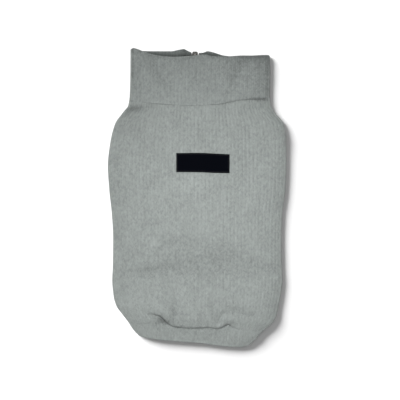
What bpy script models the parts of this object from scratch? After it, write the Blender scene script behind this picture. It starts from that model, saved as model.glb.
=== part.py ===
"""Dog sweater, laid flat with its back up: ribbed knit, stand-up collar, elasticated hem, zip under the belly.

Sizes are in millimetres and MM turns them into Blender's metres. +X is the garment's right as it lies,
+Y points to the collar, +Z is up. The cloth rests on z = 0, under the middle of its outline.
"""

import math

import bmesh
import bpy
import numpy as np
from mathutils import Vector

MM = 0.001

# Cloth
KNIT = 2.0  # one layer of the rib knit
COLLAR_WALL = 2.4  # two layers, folded over at the top
HEM_WALL = 2.4  # two layers round an elastic
SEAM_GAP = 0.3  # between pieces that are sewn together
RIB_PITCH = 4.05
RIB_HEIGHT = 0.45
TUCK = 23.0  # how far the back panel reaches under the belly
CHEST_HALF = 98.0  # half the laid width at the chest, and of the collar
COLLAR_HALF = 77.0
ROLL = 3.2  # radius of a rolled side, about half the height of the laid garment
BODY_RIBS = round(2 * (CHEST_HALF - ROLL) / RIB_PITCH)  # from side to side over the upper face
COLLAR_RIBS = round(2 * (COLLAR_HALF - ROLL) / RIB_PITCH)

# Zip, along the middle of the belly
ZIP_X = -1.9
SLIT_HALF = 4.2  # from the zip's middle line to the cloth on each side
TAPE_INNER = 1.2  # from the zip's middle line to a tape's inner edge
TAPE_OUTER = 13.0
TAPE = 0.8
TAPE_BOTTOM_Y = -150.0
TAPE_TOP_Y = 156.2
TAPE_IN_SLIDER_Z = 3.4  # a tape's lower face, between the slider's plates

# Slider, closed at the collar's top: one plate on each side of the tapes, joined by a post
SLIDER_TOP_Y = 160.2
SLIDER_LENGTH = 9.2
SLIDER_HALF = 3.3
SLIDER_CORNER = 2.2
SLIDER_TAPER = 0.2  # how much narrower it is at its lower end
PLATE = 0.7
OUTER_PLATE_Z = 2.0  # the lower face of the plate on the garment's outside, towards the floor
INNER_PLATE_Z = 5.1
RIM = 0.5
RIM_HEIGHT = 0.5
RIM_FROM = 2.2  # from the slider's upper end to a rim's two ends
RIM_TO = 7.0
POST_RADIUS = 0.95
POST_BACK = 3.1  # from the slider's upper end to its post

# Crown on the outer plate, and the pull tab whose crossbar it holds
HINGE_Y = 155.4
HINGE_Z = 1.35
CROWN_WIDTH = 1.6
CROWN_OUTER = (2.9, 1.95)  # half span and depth below its root, of its outer side and of its inner one
CROWN_INNER = (2.35, 1.48)
CROWN_ROOT_Z = 2.2
CROWN_STEPS = 12
PULL_THICK = 0.7
PULL_LENGTH = 20.0
PULL_HALF = 2.5
PULL_CORNER = 1.2
PULL_TAPER = 0.25  # how much narrower it is at its crossbar
PULL_WINDOW = (1.25, 4.2)  # half width and length of the hole round the crown
CROSSBAR = 0.7

# Box that closes the zip's lower end
BOX_SIZE = (7.6, 6.6, 2.9)
BOX_Z = 1.2
BOX_ROUNDING = 0.6

# Label
LABEL_THICK = 0.8
LABEL_STEPS = (16, 6)  # across and along

# Leg openings, in the belly panels
LEG_CENTRE = (39.0, 50.0)  # from the zip's middle line, and along Y
LEG_SIZE = (42.0, 58.0)
LEG_POINTS = 32
LEG_POWER = 0.85  # 1 for an ellipse, less for a fuller oval


def table(columns, *rows):
    """A table as its columns, by name."""
    return dict(zip(columns.split(), zip(*rows)))


# The garment's outline: the left and right edge of each section along Y
OUTLINE = table(
    "y left right",
    (-165, -46.6, 53.6),
    (-158, -56.8, 60.8),
    (-151, -64.4, 69.0),
    (-144, -70.4, 76.6),
    (-137, -74.9, 84.0),
    (-129, -81.1, 88.0),
    (-119, -88.2, 90.0),
    (-108, -91.3, 92.2),
    (-90, -92.8, 94.3),
    (-78, -92.2, 93.5),
    (-45, -91.8, 93.1),
    (-18, -93.2, 94.0),
    (8, -96.0, 97.3),
    (35, -97.6, 98.4),
    (61, -94.8, 98.4),
    (81, -89.6, 95.6),
    (94, -80.6, 85.2),
    (101, -75.3, 81.3),
    (112, -73.6, 80.4),
    (135, -72.9, 80.9),
    (165, -72.7, 80.0),
)

# Height of the laid garment above the floor: in its middle and at its rolled left and right sides
BODY_STACK = table(
    "y middle left right",
    (-150, 7.2, 5.6, 7.5),
    (-141, 8.2, 6.0, 7.5),
    (-133, 9.3, 6.2, 6.9),
    (-120, 9.4, 6.2, 5.8),
    (-104, 8.4, 6.0, 5.4),
    (-80, 7.6, 5.8, 5.3),
    (-40, 7.2, 5.6, 5.0),
    (20, 7.1, 5.6, 5.5),
    (50, 7.2, 5.6, 6.1),
    (68, 7.3, 5.7, 7.1),
    (90, 7.8, 6.2, 6.2),
    (102, 8.3, 6.8, 5.5),
    (112, 8.5, 7.0, 4.8),
)
COLLAR_STACK = table(
    "y middle left right",
    (95, 8.4, 7.0, 5.6),
    (108, 8.5, 7.2, 4.8),
    (125, 8.6, 7.4, 4.9),
    (140, 8.7, 7.4, 5.3),
    (165, 8.7, 7.2, 5.7),
)
HEM_STACK = table(
    "y middle left right",
    (-165, 6.8, 5.4, 5.3),
    (-157, 7.0, 5.4, 6.4),
    (-150, 7.2, 5.5, 7.4),
    (-136, 7.7, 6.1, 7.3),
)
SECTION_POWER = 6  # how squarely a section's upper side ends: more is squarer
FADE_POWER = 8  # how close to the sides the creases reach
BODY_SAG = 0.9  # how far the back sinks towards the belly, between the zip and each side
SIDE_SECTION_X = 80.0  # where across it the laid garment's side is measured

# Edges that run across the garment, on its upper side
COLLAR_SEAM = table(
    "x y",
    (-76, 105.5),
    (-62, 104.6),
    (-50, 103.6),
    (-30, 102.1),
    (-8, 101.2),
    (20, 102.0),
    (41, 106.0),
    (59, 108.4),
    (82, 108.8),
)
HEM_SEAM = table(
    "x y",
    (-78, -137.6),
    (-52, -138.6),
    (-38, -138.3),
    (-31, -139.2),
    (-24, -142.0),
    (-7, -143.6),
    (13, -143.0),
    (23, -144.2),
    (29.5, -141.6),
    (34.5, -138.9),
    (39.5, -142.8),
    (50, -145.4),
    (85, -146.4),
)
HEM_BOTTOM = table(
    "x y",
    (-66, -150.8),
    (-56, -154.2),
    (-40, -156.7),
    (-16, -158.7),
    (5, -160.3),
    (21, -162.5),
    (39, -164.2),
    (50, -164.5),
    (56, -163.2),
    (61, -159.2),
    (68, -152.6),
)
COLLAR_TOP_NEAR = table(
    "x y",
    (-73, 163.2),
    (-70, 164.2),
    (-66, 163.3),
    (-58, 160.1),
    (-50, 157.5),
    (-40, 155.5),
    (-23, 154.3),
    (-10, 155.2),
    (0, 156.1),
    (9, 156.8),
    (16, 155.2),
    (27, 154.7),
    (40, 155.3),
    (50, 155.9),
    (62, 155.9),
    (70, 156.4),
    (81, 156.6),
)
# The same edges on the side that lies underneath
COLLAR_TOP_FAR = table(
    "x y",
    (-73, 163.0),
    (-64, 161.6),
    (-54, 160.9),
    (-28, 160.8),
    (-20, 162.3),
    (-14.4, 163.2),
    (-9.6, 161.1),
    (-6, 159.7),
    (2.3, 159.0),
    (7, 159.2),
    (12, 160.9),
    (17, 159.9),
    (23.4, 158.0),
    (29, 156.2),
    (53, 154.2),
    (66, 154.6),
    (81, 155.8),
)
HEM_SEAM_UNDER = table("x y", (-78, -137.6), (85, -146.4))

# Creases: the points of each line, with half width and depth there. A ridge's depth is negative
BODY_FOLDS = table(
    "line x y width depth",
    (1, -54.5, -130.0, 2.6, 0.5),
    (1, -46.0, -132.0, 3.4, 1.5),
    (1, -39.0, -135.0, 3.8, 2.2),
    (1, -33.0, -139.3, 3.0, 1.4),
    (2, -50.0, -121.0, 4.5, -0.4),
    (2, -40.0, -123.5, 4.5, -0.9),
    (2, -33.0, -129.0, 3.6, -0.8),
    (3, -28.3, -105.0, 4.4, 0.3),
    (3, -26.1, -117.2, 4.0, 1.2),
    (3, -24.5, -129.3, 3.2, 1.9),
    (3, -23.9, -137.0, 3.0, 1.2),
    (4, 16.8, -113.0, 5.0, 0.5),
    (4, 17.0, -125.0, 3.6, 1.6),
    (4, 23.4, -137.0, 2.8, 1.7),
    (4, 28.9, -127.1, 2.6, 1.2),
    (4, 35.5, -123.8, 3.4, 0.9),
    (4, 47.6, -126.0, 4.2, 0.9),
    (4, 61.9, -131.5, 4.6, 0.5),
    (5, 33.0, -134.0, 4.0, -0.7),
    (5, 46.0, -136.0, 4.5, -0.6),
    (5, 58.0, -138.5, 4.0, -0.3),
    (6, 40.0, -97.0, 8.0, -0.4),
    (6, 67.4, -98.5, 7.0, -0.8),
    (7, -92.0, -84.5, 5.0, 1.0),
    (7, -72.0, -83.0, 5.0, 1.0),
    (7, -40.0, -80.2, 6.0, 1.7),
    (7, -15.0, -76.5, 8.0, 1.2),
    (7, 12.0, -71.0, 9.0, 1.3),
    (7, 40.0, -70.5, 8.0, 1.3),
    (7, 70.0, -75.0, 7.0, 1.2),
    (7, 92.0, -80.0, 6.0, 1.0),
    (8, -52.0, -70.0, 4.5, 0.3),
    (8, -43.0, -62.0, 5.0, 1.1),
    (8, -35.0, -53.0, 5.0, 1.0),
    (8, -18.0, -49.0, 6.0, 0.7),
    (8, 5.0, -52.0, 7.0, 0.8),
    (8, 30.0, -55.5, 6.5, 1.0),
    (8, 46.0, -63.0, 6.0, 0.3),
    (9, -64.0, -72.0, 6.0, -0.4),
    (9, -48.0, -55.0, 6.0, -0.9),
    (9, -34.0, -40.0, 6.5, -0.5),
    (10, -79.0, 93.5, 3.4, 2.6),
    (10, -70.0, 97.0, 3.6, 2.4),
    (10, -60.0, 99.3, 3.2, 1.8),
    (10, -48.0, 101.0, 2.6, 0.9),
    (10, -36.0, 101.6, 2.2, 0.3),
    (11, 50.0, 105.0, 2.0, 0.2),
    (11, 62.0, 106.3, 2.4, 1.1),
    (11, 72.0, 107.0, 2.6, 2.0),
    (11, 79.0, 107.2, 2.6, 2.4),
)
COLLAR_FOLDS = table(
    "line x y width depth",
    (1, -50.0, 156.0, 5.0, 0.9),
    (1, -45.0, 140.0, 5.0, 1.5),
    (1, -37.0, 126.0, 4.6, 1.3),
    (1, -29.0, 114.0, 4.0, 0.5),
    (2, 54.0, 153.0, 6.0, 0.9),
    (2, 45.0, 138.0, 5.0, 1.5),
    (2, 39.0, 124.0, 4.6, 1.3),
    (2, 37.0, 114.0, 4.0, 0.4),
    (3, -67.0, 122.0, 4.0, 0.9),
    (3, -54.0, 118.0, 4.0, 0.8),
    (3, -42.0, 112.0, 3.5, 0.3),
    (4, -62.0, 138.0, 5.5, -0.6),
    (4, -50.0, 127.0, 4.5, -0.4),
    (5, 66.0, 130.0, 6.0, -0.6),
    (5, 58.0, 114.0, 6.0, -0.4),
)

# The label's two long edges
LABEL_EDGES = table(
    "x bottom top",
    (-22.4, 27.9, 48.6),
    (3.0, 27.7, 48.8),
    (20.0, 26.9, 48.1),
    (36.0, 26.7, 47.3),
)

# Height of the zip tapes' lower face along the garment: they climb over the hem band and the collar
TAPE_HEIGHT = table(
    "y z",
    (-165, HEM_WALL + SEAM_GAP),
    (-135, HEM_WALL + SEAM_GAP),
    (-122, KNIT + SEAM_GAP),
    (84, KNIT + SEAM_GAP),
    (99, TAPE_IN_SLIDER_Z),
    (165, TAPE_IN_SLIDER_Z),
)
TAPE_EXTRA_ROWS = (-128.5, 88.0, 91.5, 95.0)  # where the tapes bend

# Columns and rows of the cloth's surfaces
BODY_ROWS = 25
BODY_ROW_POWER = 1.5  # closer together at the hem, where the creases are
ROLL_STEPS = 5  # round a rolled side
COLLAR_ROWS = 8
HEM_ROWS = 3
PANEL_STEPS = 8  # along a belly panel's lower and upper edge

COLOURS = {
    "knit": (0.33, 0.36, 0.35, 1.0),
    "knit_dark": (0.30, 0.33, 0.32, 1.0),
    "label": (0.006, 0.007, 0.010, 1.0),
    "tape": (0.06, 0.066, 0.062, 1.0),
    "metal": (0.25, 0.24, 0.21, 1.0),
}


def clear_scene():
    for obj in list(bpy.data.objects):
        bpy.data.objects.remove(obj, do_unlink=True)


def new_collection(name, is_helper=False):
    collection = bpy.data.collections.new(name)
    bpy.context.scene.collection.children.link(collection)
    collection.hide_render = is_helper
    return collection


def material(name, colour, roughness, metallic=0.0):
    made = bpy.data.materials.new(name)
    made.use_nodes = True
    shader = made.node_tree.nodes["Principled BSDF"]
    shader.inputs["Base Color"].default_value = colour
    shader.inputs["Roughness"].default_value = roughness
    shader.inputs["Metallic"].default_value = metallic
    return made


def smooth_curve(table, along, across):
    """A function through a table's rows, smooth between them and with no overshoot (monotone cubic)."""
    x = np.array(table[along], float)
    y = np.array(table[across], float)
    slope = np.diff(y) / np.diff(x)
    tangent = np.zeros_like(y)
    for i in range(1, len(x) - 1):
        if slope[i - 1] * slope[i] > 0:
            tangent[i] = 2 / (1 / slope[i - 1] + 1 / slope[i])
    tangent[0], tangent[-1] = slope[0], slope[-1]

    def value(at):
        at = min(max(at, x[0]), x[-1])
        i = min(int(np.searchsorted(x, at, side="right")) - 1, len(x) - 2)
        step = x[i + 1] - x[i]
        t = (at - x[i]) / step
        return (
            y[i] * (1 + 2 * t) * (1 - t) ** 2
            + y[i + 1] * t * t * (3 - 2 * t)
            + step * t * (1 - t) * (tangent[i] * (1 - t) - tangent[i + 1] * t)
        )

    return value


left_edge = smooth_curve(OUTLINE, "y", "left")
right_edge = smooth_curve(OUTLINE, "y", "right")


def fold_depth(folds, x, y):
    """How far the creases press the upper side down at a point: along each line, its deepest part counts."""
    deepest = {}
    rows = list(zip(*folds.values()))
    for (line, x0, y0, width0, depth0), (next_line, x1, y1, width1, depth1) in zip(rows, rows[1:]):
        if line != next_line:
            continue
        run = Vector((x1 - x0, y1 - y0))
        t = max(0.0, min(1.0, Vector((x - x0, y - y0)).dot(run) / run.length_squared))
        away = math.hypot(x - x0 - t * run.x, y - y0 - t * run.y)
        width = width0 + (width1 - width0) * t
        here = (depth0 + (depth1 - depth0) * t) * math.exp(-((away / width) ** 2))
        if abs(here) > abs(deepest.get(line, 0.0)):
            deepest[line] = here
    return sum(deepest.values())


class Wrap:
    """A piece of cloth laid over the garment and round both of its sides to the side underneath.

    A point on it is given by s, across: -1 to 1 over the upper side from edge to edge, 1 to 2 round
    the right side and 2 to 3 along the underside to the piece's end there, and -1 to -3 likewise on
    the left. v runs along Y from the lower edge to the upper one, and inset is the depth below the
    outer surface.
    """

    def __init__(
        self, wall, widest, stack, lower, upper, ends, folds, sag=0.0, lower_under=None, upper_under=None
    ):
        self.wall = wall
        self.widest = widest  # half the width at which its ribs are evenly spaced
        self.middle = smooth_curve(stack, "y", "middle")
        self.left = smooth_curve(stack, "y", "left")
        self.right = smooth_curve(stack, "y", "right")
        self.lower = lower
        self.upper = upper
        self.lower_under = lower_under or lower
        self.upper_under = upper_under or upper
        self.ends = ends  # gives the x where the piece ends underneath, from the side and y
        self.folds = folds
        self.sag = sag

    def side(self, sign, y):
        """Height of a rolled side."""
        return self.right(y) if sign > 0 else self.left(y)

    def height(self, x, y):
        """Height of the plain upper surface."""
        edge = right_edge(y) if x > 0 else -left_edge(y)
        side = self.side(x, y)
        reach = min(1.0, abs(x) / (edge - side / 2))
        rise = (self.middle(y) - side) * (1 - reach**SECTION_POWER)
        pressed = fold_depth(self.folds, x, y) * (1 - reach**FADE_POWER)
        return side + rise - pressed - self.sag * math.sin(math.pi * reach) ** 2

    def point(self, s, v, dy=0.0, inset=0.0):
        sign = 1 if s >= 0 else -1
        s = abs(s)
        side_x = SIDE_SECTION_X * sign
        y_side = self.lower(side_x) * (1 - v) + self.upper(side_x) * v
        edge = right_edge(y_side) if sign > 0 else -left_edge(y_side)
        radius = self.side(sign, y_side) / 2
        flat = edge - radius
        if s <= 1:
            widest = self.widest - radius
            x = sign * (s * widest - (widest - flat) * s * s)
            y = self.lower(x) * (1 - v) + self.upper(x) * v + dy
            return x, y, self.height(x, y) - inset
        if s <= 2:
            turn = (s - 1) * math.pi
            x = sign * (flat + (radius - inset) * math.sin(turn))
            over = self.lower(x) * (1 - v) + self.upper(x) * v
            under = self.lower_under(x) * (1 - v) + self.upper_under(x) * v
            y = over + (under - over) * (s - 1) + dy
            return x, y, radius + (radius - inset) * math.cos(turn)
        x = sign * flat + (self.ends(sign, y_side) - sign * flat) * (s - 2)
        y = self.lower_under(x) * (1 - v) + self.upper_under(x) * v + dy
        x = sign * flat + (self.ends(sign, y) - sign * flat) * (s - 2)
        return x, y, inset


def across_stations(over, under):
    """Values of s from one end underneath to the other, with so many steps over the top and underneath."""
    below = [3 - i / under for i in range(under)]
    roll = [2 - i / ROLL_STEPS for i in range(ROLL_STEPS)]
    top = [1 - 2 * i / over for i in range(over + 1)]
    right = below + roll
    return [-s for s in right] + [-s for s in top] + list(reversed(right))


def strip(mesh, first, second, places_first, places_second):
    """Triangles between two rows of points with unlike counts, matched by their places across."""
    i = j = 0
    while i < len(first) - 1 or j < len(second) - 1:
        step_first = j == len(second) - 1 or (
            i < len(first) - 1 and places_first[i + 1] <= places_second[j + 1]
        )
        if step_first:
            mesh.faces.new((first[i], first[i + 1], second[j]))
            i += 1
        else:
            mesh.faces.new((first[i], second[j + 1], second[j]))
            j += 1


def wrapped_cloth(name, wrap, ribs, under, rows, inner_over, collection, finish):
    """The closed solid of a wrapped piece: ribs raised in its outer points over a plain inside."""
    outer_s = across_stations(2 * ribs, under)
    inner_s = across_stations(inner_over, max(1, under // 2))
    mesh = bmesh.new()

    def raised(s, v):
        step = round((s + 1) * ribs)
        edge = min(1.0, 8 * (1 - abs(s))) if abs(s) < 1 else 0.0
        return RIB_HEIGHT * edge if step % 2 else 0.0

    outer = []
    inner = []
    for v, dy, inset in rows:
        outer.append(
            [mesh.verts.new(Vector(wrap.point(s, v, dy, inset - raised(s, v))) * MM) for s in outer_s]
        )
        inner.append([mesh.verts.new(Vector(wrap.point(s, v, dy, wrap.wall - inset)) * MM) for s in inner_s])
    for grid in (outer, inner):
        for low, high in zip(grid, grid[1:]):
            for i in range(len(low) - 1):
                mesh.faces.new((low[i], low[i + 1], high[i + 1], high[i]))
    for row in (0, -1):
        strip(mesh, outer[row], inner[row], outer_s, inner_s)
    for end in (0, -1):
        for row in range(len(rows) - 1):
            mesh.faces.new((outer[row][end], outer[row + 1][end], inner[row + 1][end], inner[row][end]))
    bmesh.ops.recalc_face_normals(mesh, faces=mesh.faces)
    return mesh_object(name, mesh, collection, finish)


def mesh_object(name, mesh, collection, finish):
    data = bpy.data.meshes.new(name)
    mesh.to_mesh(data)
    mesh.free()
    data.materials.append(finish)
    data.shade_smooth()
    data.set_sharp_from_angle(angle=math.radians(50))
    obj = bpy.data.objects.new(name, data)
    collection.objects.link(obj)
    return obj


def plain_rows(count, power=1.0):
    """Rows from the lower edge to the upper one, closer together near the lower for power above 1."""
    return [((i / count) ** power, 0.0, 0.0) for i in range(count + 1)]


def body_rows():
    return plain_rows(BODY_ROWS, BODY_ROW_POWER)


def rounded_edge(wall, outward):
    """Rows that round a folded edge off: the inset grows as they run out."""
    radius = wall / 2
    turns = [math.radians(a) for a in (25, 60)]
    rows = [(math.sin(a) * radius - radius, radius * (1 - math.cos(a))) for a in turns]
    return [(outward * dy, inset) for dy, inset in rows], -outward * radius


def flat_outline(name, outlines, bottom, top, collection, finish, origin=(0.0, 0.0)):
    """A flat piece between two heights, from closed outlines: the first is its edge, the rest are holes."""
    curve = bpy.data.curves.new(name, "CURVE")
    curve.dimensions = "2D"
    curve.fill_mode = "BOTH"
    curve.extrude = (top - bottom) / 2 * MM
    for outline in outlines:
        spline = curve.splines.new("POLY")
        spline.points.add(len(outline) - 1)
        for point, (x, y) in zip(spline.points, outline):
            point.co = (x * MM, y * MM, 0, 1)
        spline.use_cyclic_u = True
    curve.materials.append(finish)
    obj = bpy.data.objects.new(name, curve)
    obj.location = Vector((*origin, (bottom + top) / 2)) * MM
    collection.objects.link(obj)
    return obj


def as_mesh(obj):
    """The same object as a mesh with its caps welded, so that it can take a Boolean."""
    bpy.context.view_layer.update()
    graph = bpy.context.evaluated_depsgraph_get()
    data = bpy.data.meshes.new_from_object(obj.evaluated_get(graph))
    mesh = bmesh.new()
    mesh.from_mesh(data)
    bmesh.ops.remove_doubles(mesh, verts=mesh.verts, dist=1e-7)
    bmesh.ops.recalc_face_normals(mesh, faces=mesh.faces)
    mesh.to_mesh(data)
    mesh.free()
    name = obj.name
    made = bpy.data.objects.new(name + "_mesh", data)
    made.matrix_world = obj.matrix_world.copy()
    obj.users_collection[0].objects.link(made)
    bpy.data.objects.remove(obj, do_unlink=True)
    made.name = name
    return made


def rounded_box_outline(x0, x1, y0, y1, radius, steps=5):
    """A rectangle with round corners, as a list of points."""
    corners = ((x1 - radius, y1 - radius, 0), (x0 + radius, y1 - radius, 90),
               (x0 + radius, y0 + radius, 180), (x1 - radius, y0 + radius, 270))
    outline = []
    for cx, cy, start in corners:
        for i in range(steps + 1):
            a = math.radians(start + 90 * i / steps)
            outline.append((cx + radius * math.cos(a), cy + radius * math.sin(a)))
    return outline


collar_seam = smooth_curve(COLLAR_SEAM, "x", "y")
hem_seam = smooth_curve(HEM_SEAM, "x", "y")
hem_seam_under = smooth_curve(HEM_SEAM_UNDER, "x", "y")
hem_bottom = smooth_curve(HEM_BOTTOM, "x", "y")
collar_top_near = smooth_curve(COLLAR_TOP_NEAR, "x", "y")
collar_top_far = smooth_curve(COLLAR_TOP_FAR, "x", "y")


def tuck_end(sign, y):
    """Where the back panel ends underneath."""
    return (right_edge(y) - TUCK) if sign > 0 else (left_edge(y) + TUCK)


def slit_end(sign, y):
    """Where a piece ends beside the zip."""
    return ZIP_X + sign * SLIT_HALF


def back_panel(collection, finish):
    wrap = Wrap(
        KNIT,
        CHEST_HALF,
        BODY_STACK,
        lambda x: hem_seam(x) + SEAM_GAP / 2,
        lambda x: collar_seam(x) - SEAM_GAP / 2,
        tuck_end,
        BODY_FOLDS,
        sag=BODY_SAG,
        lower_under=lambda x: hem_seam_under(x) + SEAM_GAP / 2,
    )
    wrapped_cloth("back_panel", wrap, BODY_RIBS, 4, body_rows(), BODY_RIBS, collection, finish)
    return wrap


def collar(collection, finish):
    fold, shift = rounded_edge(COLLAR_WALL, 1)
    wrap = Wrap(
        COLLAR_WALL,
        COLLAR_HALF,
        COLLAR_STACK,
        lambda x: collar_seam(x) + SEAM_GAP / 2,
        collar_top_near,
        slit_end,
        COLLAR_FOLDS,
        upper_under=collar_top_far,
    )
    rows = plain_rows(COLLAR_ROWS)
    rows = rows[:-1] + [(1.0, shift, 0.0)] + [(1.0, dy, inset) for dy, inset in fold]
    wrapped_cloth("collar", wrap, COLLAR_RIBS, 12, rows, 28, collection, finish)


def hem_band(collection, finish):
    fold, shift = rounded_edge(HEM_WALL, -1)
    wrap = Wrap(
        HEM_WALL,
        CHEST_HALF,
        HEM_STACK,
        hem_bottom,
        lambda x: hem_seam(x) - SEAM_GAP / 2,
        slit_end,
        BODY_FOLDS,
        upper_under=lambda x: hem_seam_under(x) - SEAM_GAP / 2,
    )
    rows = [(0.0, dy, inset) for dy, inset in reversed(fold)] + [(0.0, shift, 0.0)]
    rows += plain_rows(HEM_ROWS)[1:]
    wrapped_cloth("hem_band", wrap, BODY_RIBS, 10, rows, BODY_RIBS, collection, finish)


def leg_outline(sign):
    """The leg's opening, an upright oval a little fuller than an ellipse."""
    outline = []
    for i in range(LEG_POINTS):
        a = 2 * math.pi * i / LEG_POINTS
        x = math.copysign(abs(math.cos(a)) ** LEG_POWER, math.cos(a)) * LEG_SIZE[0] / 2
        y = math.copysign(abs(math.sin(a)) ** LEG_POWER, math.sin(a)) * LEG_SIZE[1] / 2
        outline.append((ZIP_X + sign * LEG_CENTRE[0] + x, LEG_CENTRE[1] + y))
    return outline


def belly_panel(name, sign, back, collection, finish):
    """A flat panel from the zip to the back panel's tucked edge, with its leg opening."""
    side = [back.point(sign * 3, v)[:2] for v, _, _ in body_rows()]
    side = [(x - sign * SEAM_GAP, y) for x, y in side]
    inner_x = ZIP_X + sign * SLIT_HALF
    bottom = []
    top = []
    for i in range(PANEL_STEPS):
        x = inner_x + (side[0][0] - inner_x) * i / PANEL_STEPS
        bottom.append((x, hem_seam_under(x) + SEAM_GAP / 2))
        x = inner_x + (side[-1][0] - inner_x) * i / PANEL_STEPS
        top.append((x, collar_seam(x) - SEAM_GAP / 2))
    outline = bottom + side + list(reversed(top))
    return flat_outline(name, (outline, leg_outline(sign)), 0.0, KNIT, collection, finish)


label_bottom = smooth_curve(LABEL_EDGES, "x", "bottom")
label_top = smooth_curve(LABEL_EDGES, "x", "top")


def label(back, collection, finish):
    """The label's cloth, on the back panel's own surface moved out."""
    across, along = LABEL_STEPS
    left, right = LABEL_EDGES["x"][0], LABEL_EDGES["x"][-1]
    mesh = bmesh.new()
    grid = []
    for j in range(along + 1):
        row = []
        for i in range(across + 1):
            x = left + (right - left) * i / across
            y = label_bottom(x) + (label_top(x) - label_bottom(x)) * j / along
            z = back.height(x, y) + RIB_HEIGHT + SEAM_GAP
            row.append(mesh.verts.new(Vector((x, y, z)) * MM))
        grid.append(row)
    for low, high in zip(grid, grid[1:]):
        for i in range(across):
            mesh.faces.new((low[i], low[i + 1], high[i + 1], high[i]))
    obj = mesh_object("label", mesh, collection, finish)
    solidify = obj.modifiers.new("thickness", "SOLIDIFY")
    solidify.thickness = LABEL_THICK * MM
    solidify.offset = 1.0
    return obj


tape_height = smooth_curve(TAPE_HEIGHT, "y", "z")


def zip_tape(name, sign, collection, finish):
    """A tape sewn behind the cloth beside the slit."""
    rows = sorted({TAPE_BOTTOM_Y, TAPE_TOP_Y, *TAPE_HEIGHT["y"][1:-1], *TAPE_EXTRA_ROWS})
    mesh = bmesh.new()
    sides = (TAPE_INNER, TAPE_OUTER) if sign > 0 else (TAPE_OUTER, TAPE_INNER)
    grid = []
    for y in rows:
        grid.append(
            [mesh.verts.new(Vector((ZIP_X + sign * side, y, tape_height(y))) * MM) for side in sides]
        )
    for low, high in zip(grid, grid[1:]):
        mesh.faces.new((low[0], low[1], high[1], high[0]))
    obj = mesh_object(name, mesh, collection, finish)
    solidify = obj.modifiers.new("thickness", "SOLIDIFY")
    solidify.thickness = TAPE * MM
    solidify.offset = 1.0
    return obj


def tapered(outline):
    """A slider's outline, drawn round its upper end's middle, narrowed towards its lower end."""
    return [(x * (1 + SLIDER_TAPER * y / SLIDER_LENGTH), y) for x, y in outline]


def zip_slider(collection, helpers, finish):
    """Two plates with rims along their sides, joined by a post, and a crown that holds the pull tab."""
    at = (ZIP_X, SLIDER_TOP_Y)
    face = tapered(rounded_box_outline(-SLIDER_HALF, SLIDER_HALF, -SLIDER_LENGTH, 0.0, SLIDER_CORNER))
    outer = flat_outline(
        "zip_slider", [face], OUTER_PLATE_Z, OUTER_PLATE_Z + PLATE, collection, finish, at
    )
    inner = flat_outline("inner_plate", [face], INNER_PLATE_Z, INNER_PLATE_Z + PLATE, helpers, finish, at)
    joined = [inner]
    outer_top = OUTER_PLATE_Z + PLATE
    for sign in (-1, 1):
        x0, x1 = sorted((sign * SLIDER_HALF, sign * (SLIDER_HALF - RIM)))
        rim = tapered([(x0, -RIM_FROM), (x0, -RIM_TO), (x1, -RIM_TO), (x1, -RIM_FROM)])
        for bottom, top in (
            (outer_top - PLATE / 2, outer_top + RIM_HEIGHT),
            (INNER_PLATE_Z - RIM_HEIGHT, INNER_PLATE_Z + PLATE / 2),
        ):
            joined.append(flat_outline("rim", [rim], bottom, top, helpers, finish, at))
    post = rounded_box_outline(
        -POST_RADIUS, POST_RADIUS, -POST_BACK - POST_RADIUS, -POST_BACK + POST_RADIUS, POST_RADIUS - 0.01
    )
    post_bottom = OUTER_PLATE_Z + PLATE / 2
    post_top = INNER_PLATE_Z + PLATE / 2
    joined.append(flat_outline("post", [post], post_bottom, post_top, helpers, finish, at))
    joined.append(crown(helpers, finish))
    body = as_mesh(outer)
    for number, piece in enumerate(joined):
        helper = as_mesh(piece)
        helper.hide_render = True
        helper.display_type = "WIRE"
        union = body.modifiers.new(f"join_{number}", "BOOLEAN")
        union.operation = "UNION"
        union.object = helper
    return body


def crown(collection, finish):
    """The small arch under the outer plate, drawn in the plane of Y and Z and as wide as the crown."""
    arch = []
    there = range(CROWN_STEPS + 1)
    for (span, depth), turns in ((CROWN_OUTER, there), (CROWN_INNER, reversed(there))):
        for i in turns:
            a = math.pi * i / CROWN_STEPS
            arch.append((HINGE_Y + span * math.cos(a), CROWN_ROOT_Z - depth * math.sin(a)))
    obj = flat_outline("crown", [arch], 0.0, CROWN_WIDTH, collection, finish)
    obj.rotation_euler = (math.pi / 2, 0, math.pi / 2)
    obj.location = (ZIP_X * MM, 0, 0)
    return obj


def zip_pull(collection, finish):
    """The pull tab, hung by its crossbar, whose middle is the object's origin and the joint's axis."""
    half, length = PULL_WINDOW
    bar = CROSSBAR / 2
    edge = rounded_box_outline(-PULL_HALF, PULL_HALF, -PULL_LENGTH, bar, PULL_CORNER)
    edge = [(x * (1 - PULL_TAPER * (1 + y / PULL_LENGTH)), y) for x, y in edge]
    window = rounded_box_outline(-half, half, -bar - length, -bar, 0.3, 2)
    return flat_outline(
        "zip_pull",
        [edge, window],
        HINGE_Z - PULL_THICK / 2,
        HINGE_Z + PULL_THICK / 2,
        collection,
        finish,
        (ZIP_X, HINGE_Y),
    )


def zip_box(collection, finish):
    """The box that holds both tapes together at the hem."""
    mesh = bmesh.new()
    bmesh.ops.create_cube(mesh, size=1.0)
    bmesh.ops.scale(mesh, vec=Vector(BOX_SIZE) * MM, verts=mesh.verts)
    obj = mesh_object("zip_box", mesh, collection, finish)
    top = TAPE_BOTTOM_Y - SEAM_GAP
    obj.location = Vector((ZIP_X, top - BOX_SIZE[1] / 2, BOX_Z + BOX_SIZE[2] / 2)) * MM
    bevel = obj.modifiers.new("round_edges", "BEVEL")
    bevel.width = BOX_ROUNDING * MM
    bevel.segments = 2
    return obj


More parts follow.
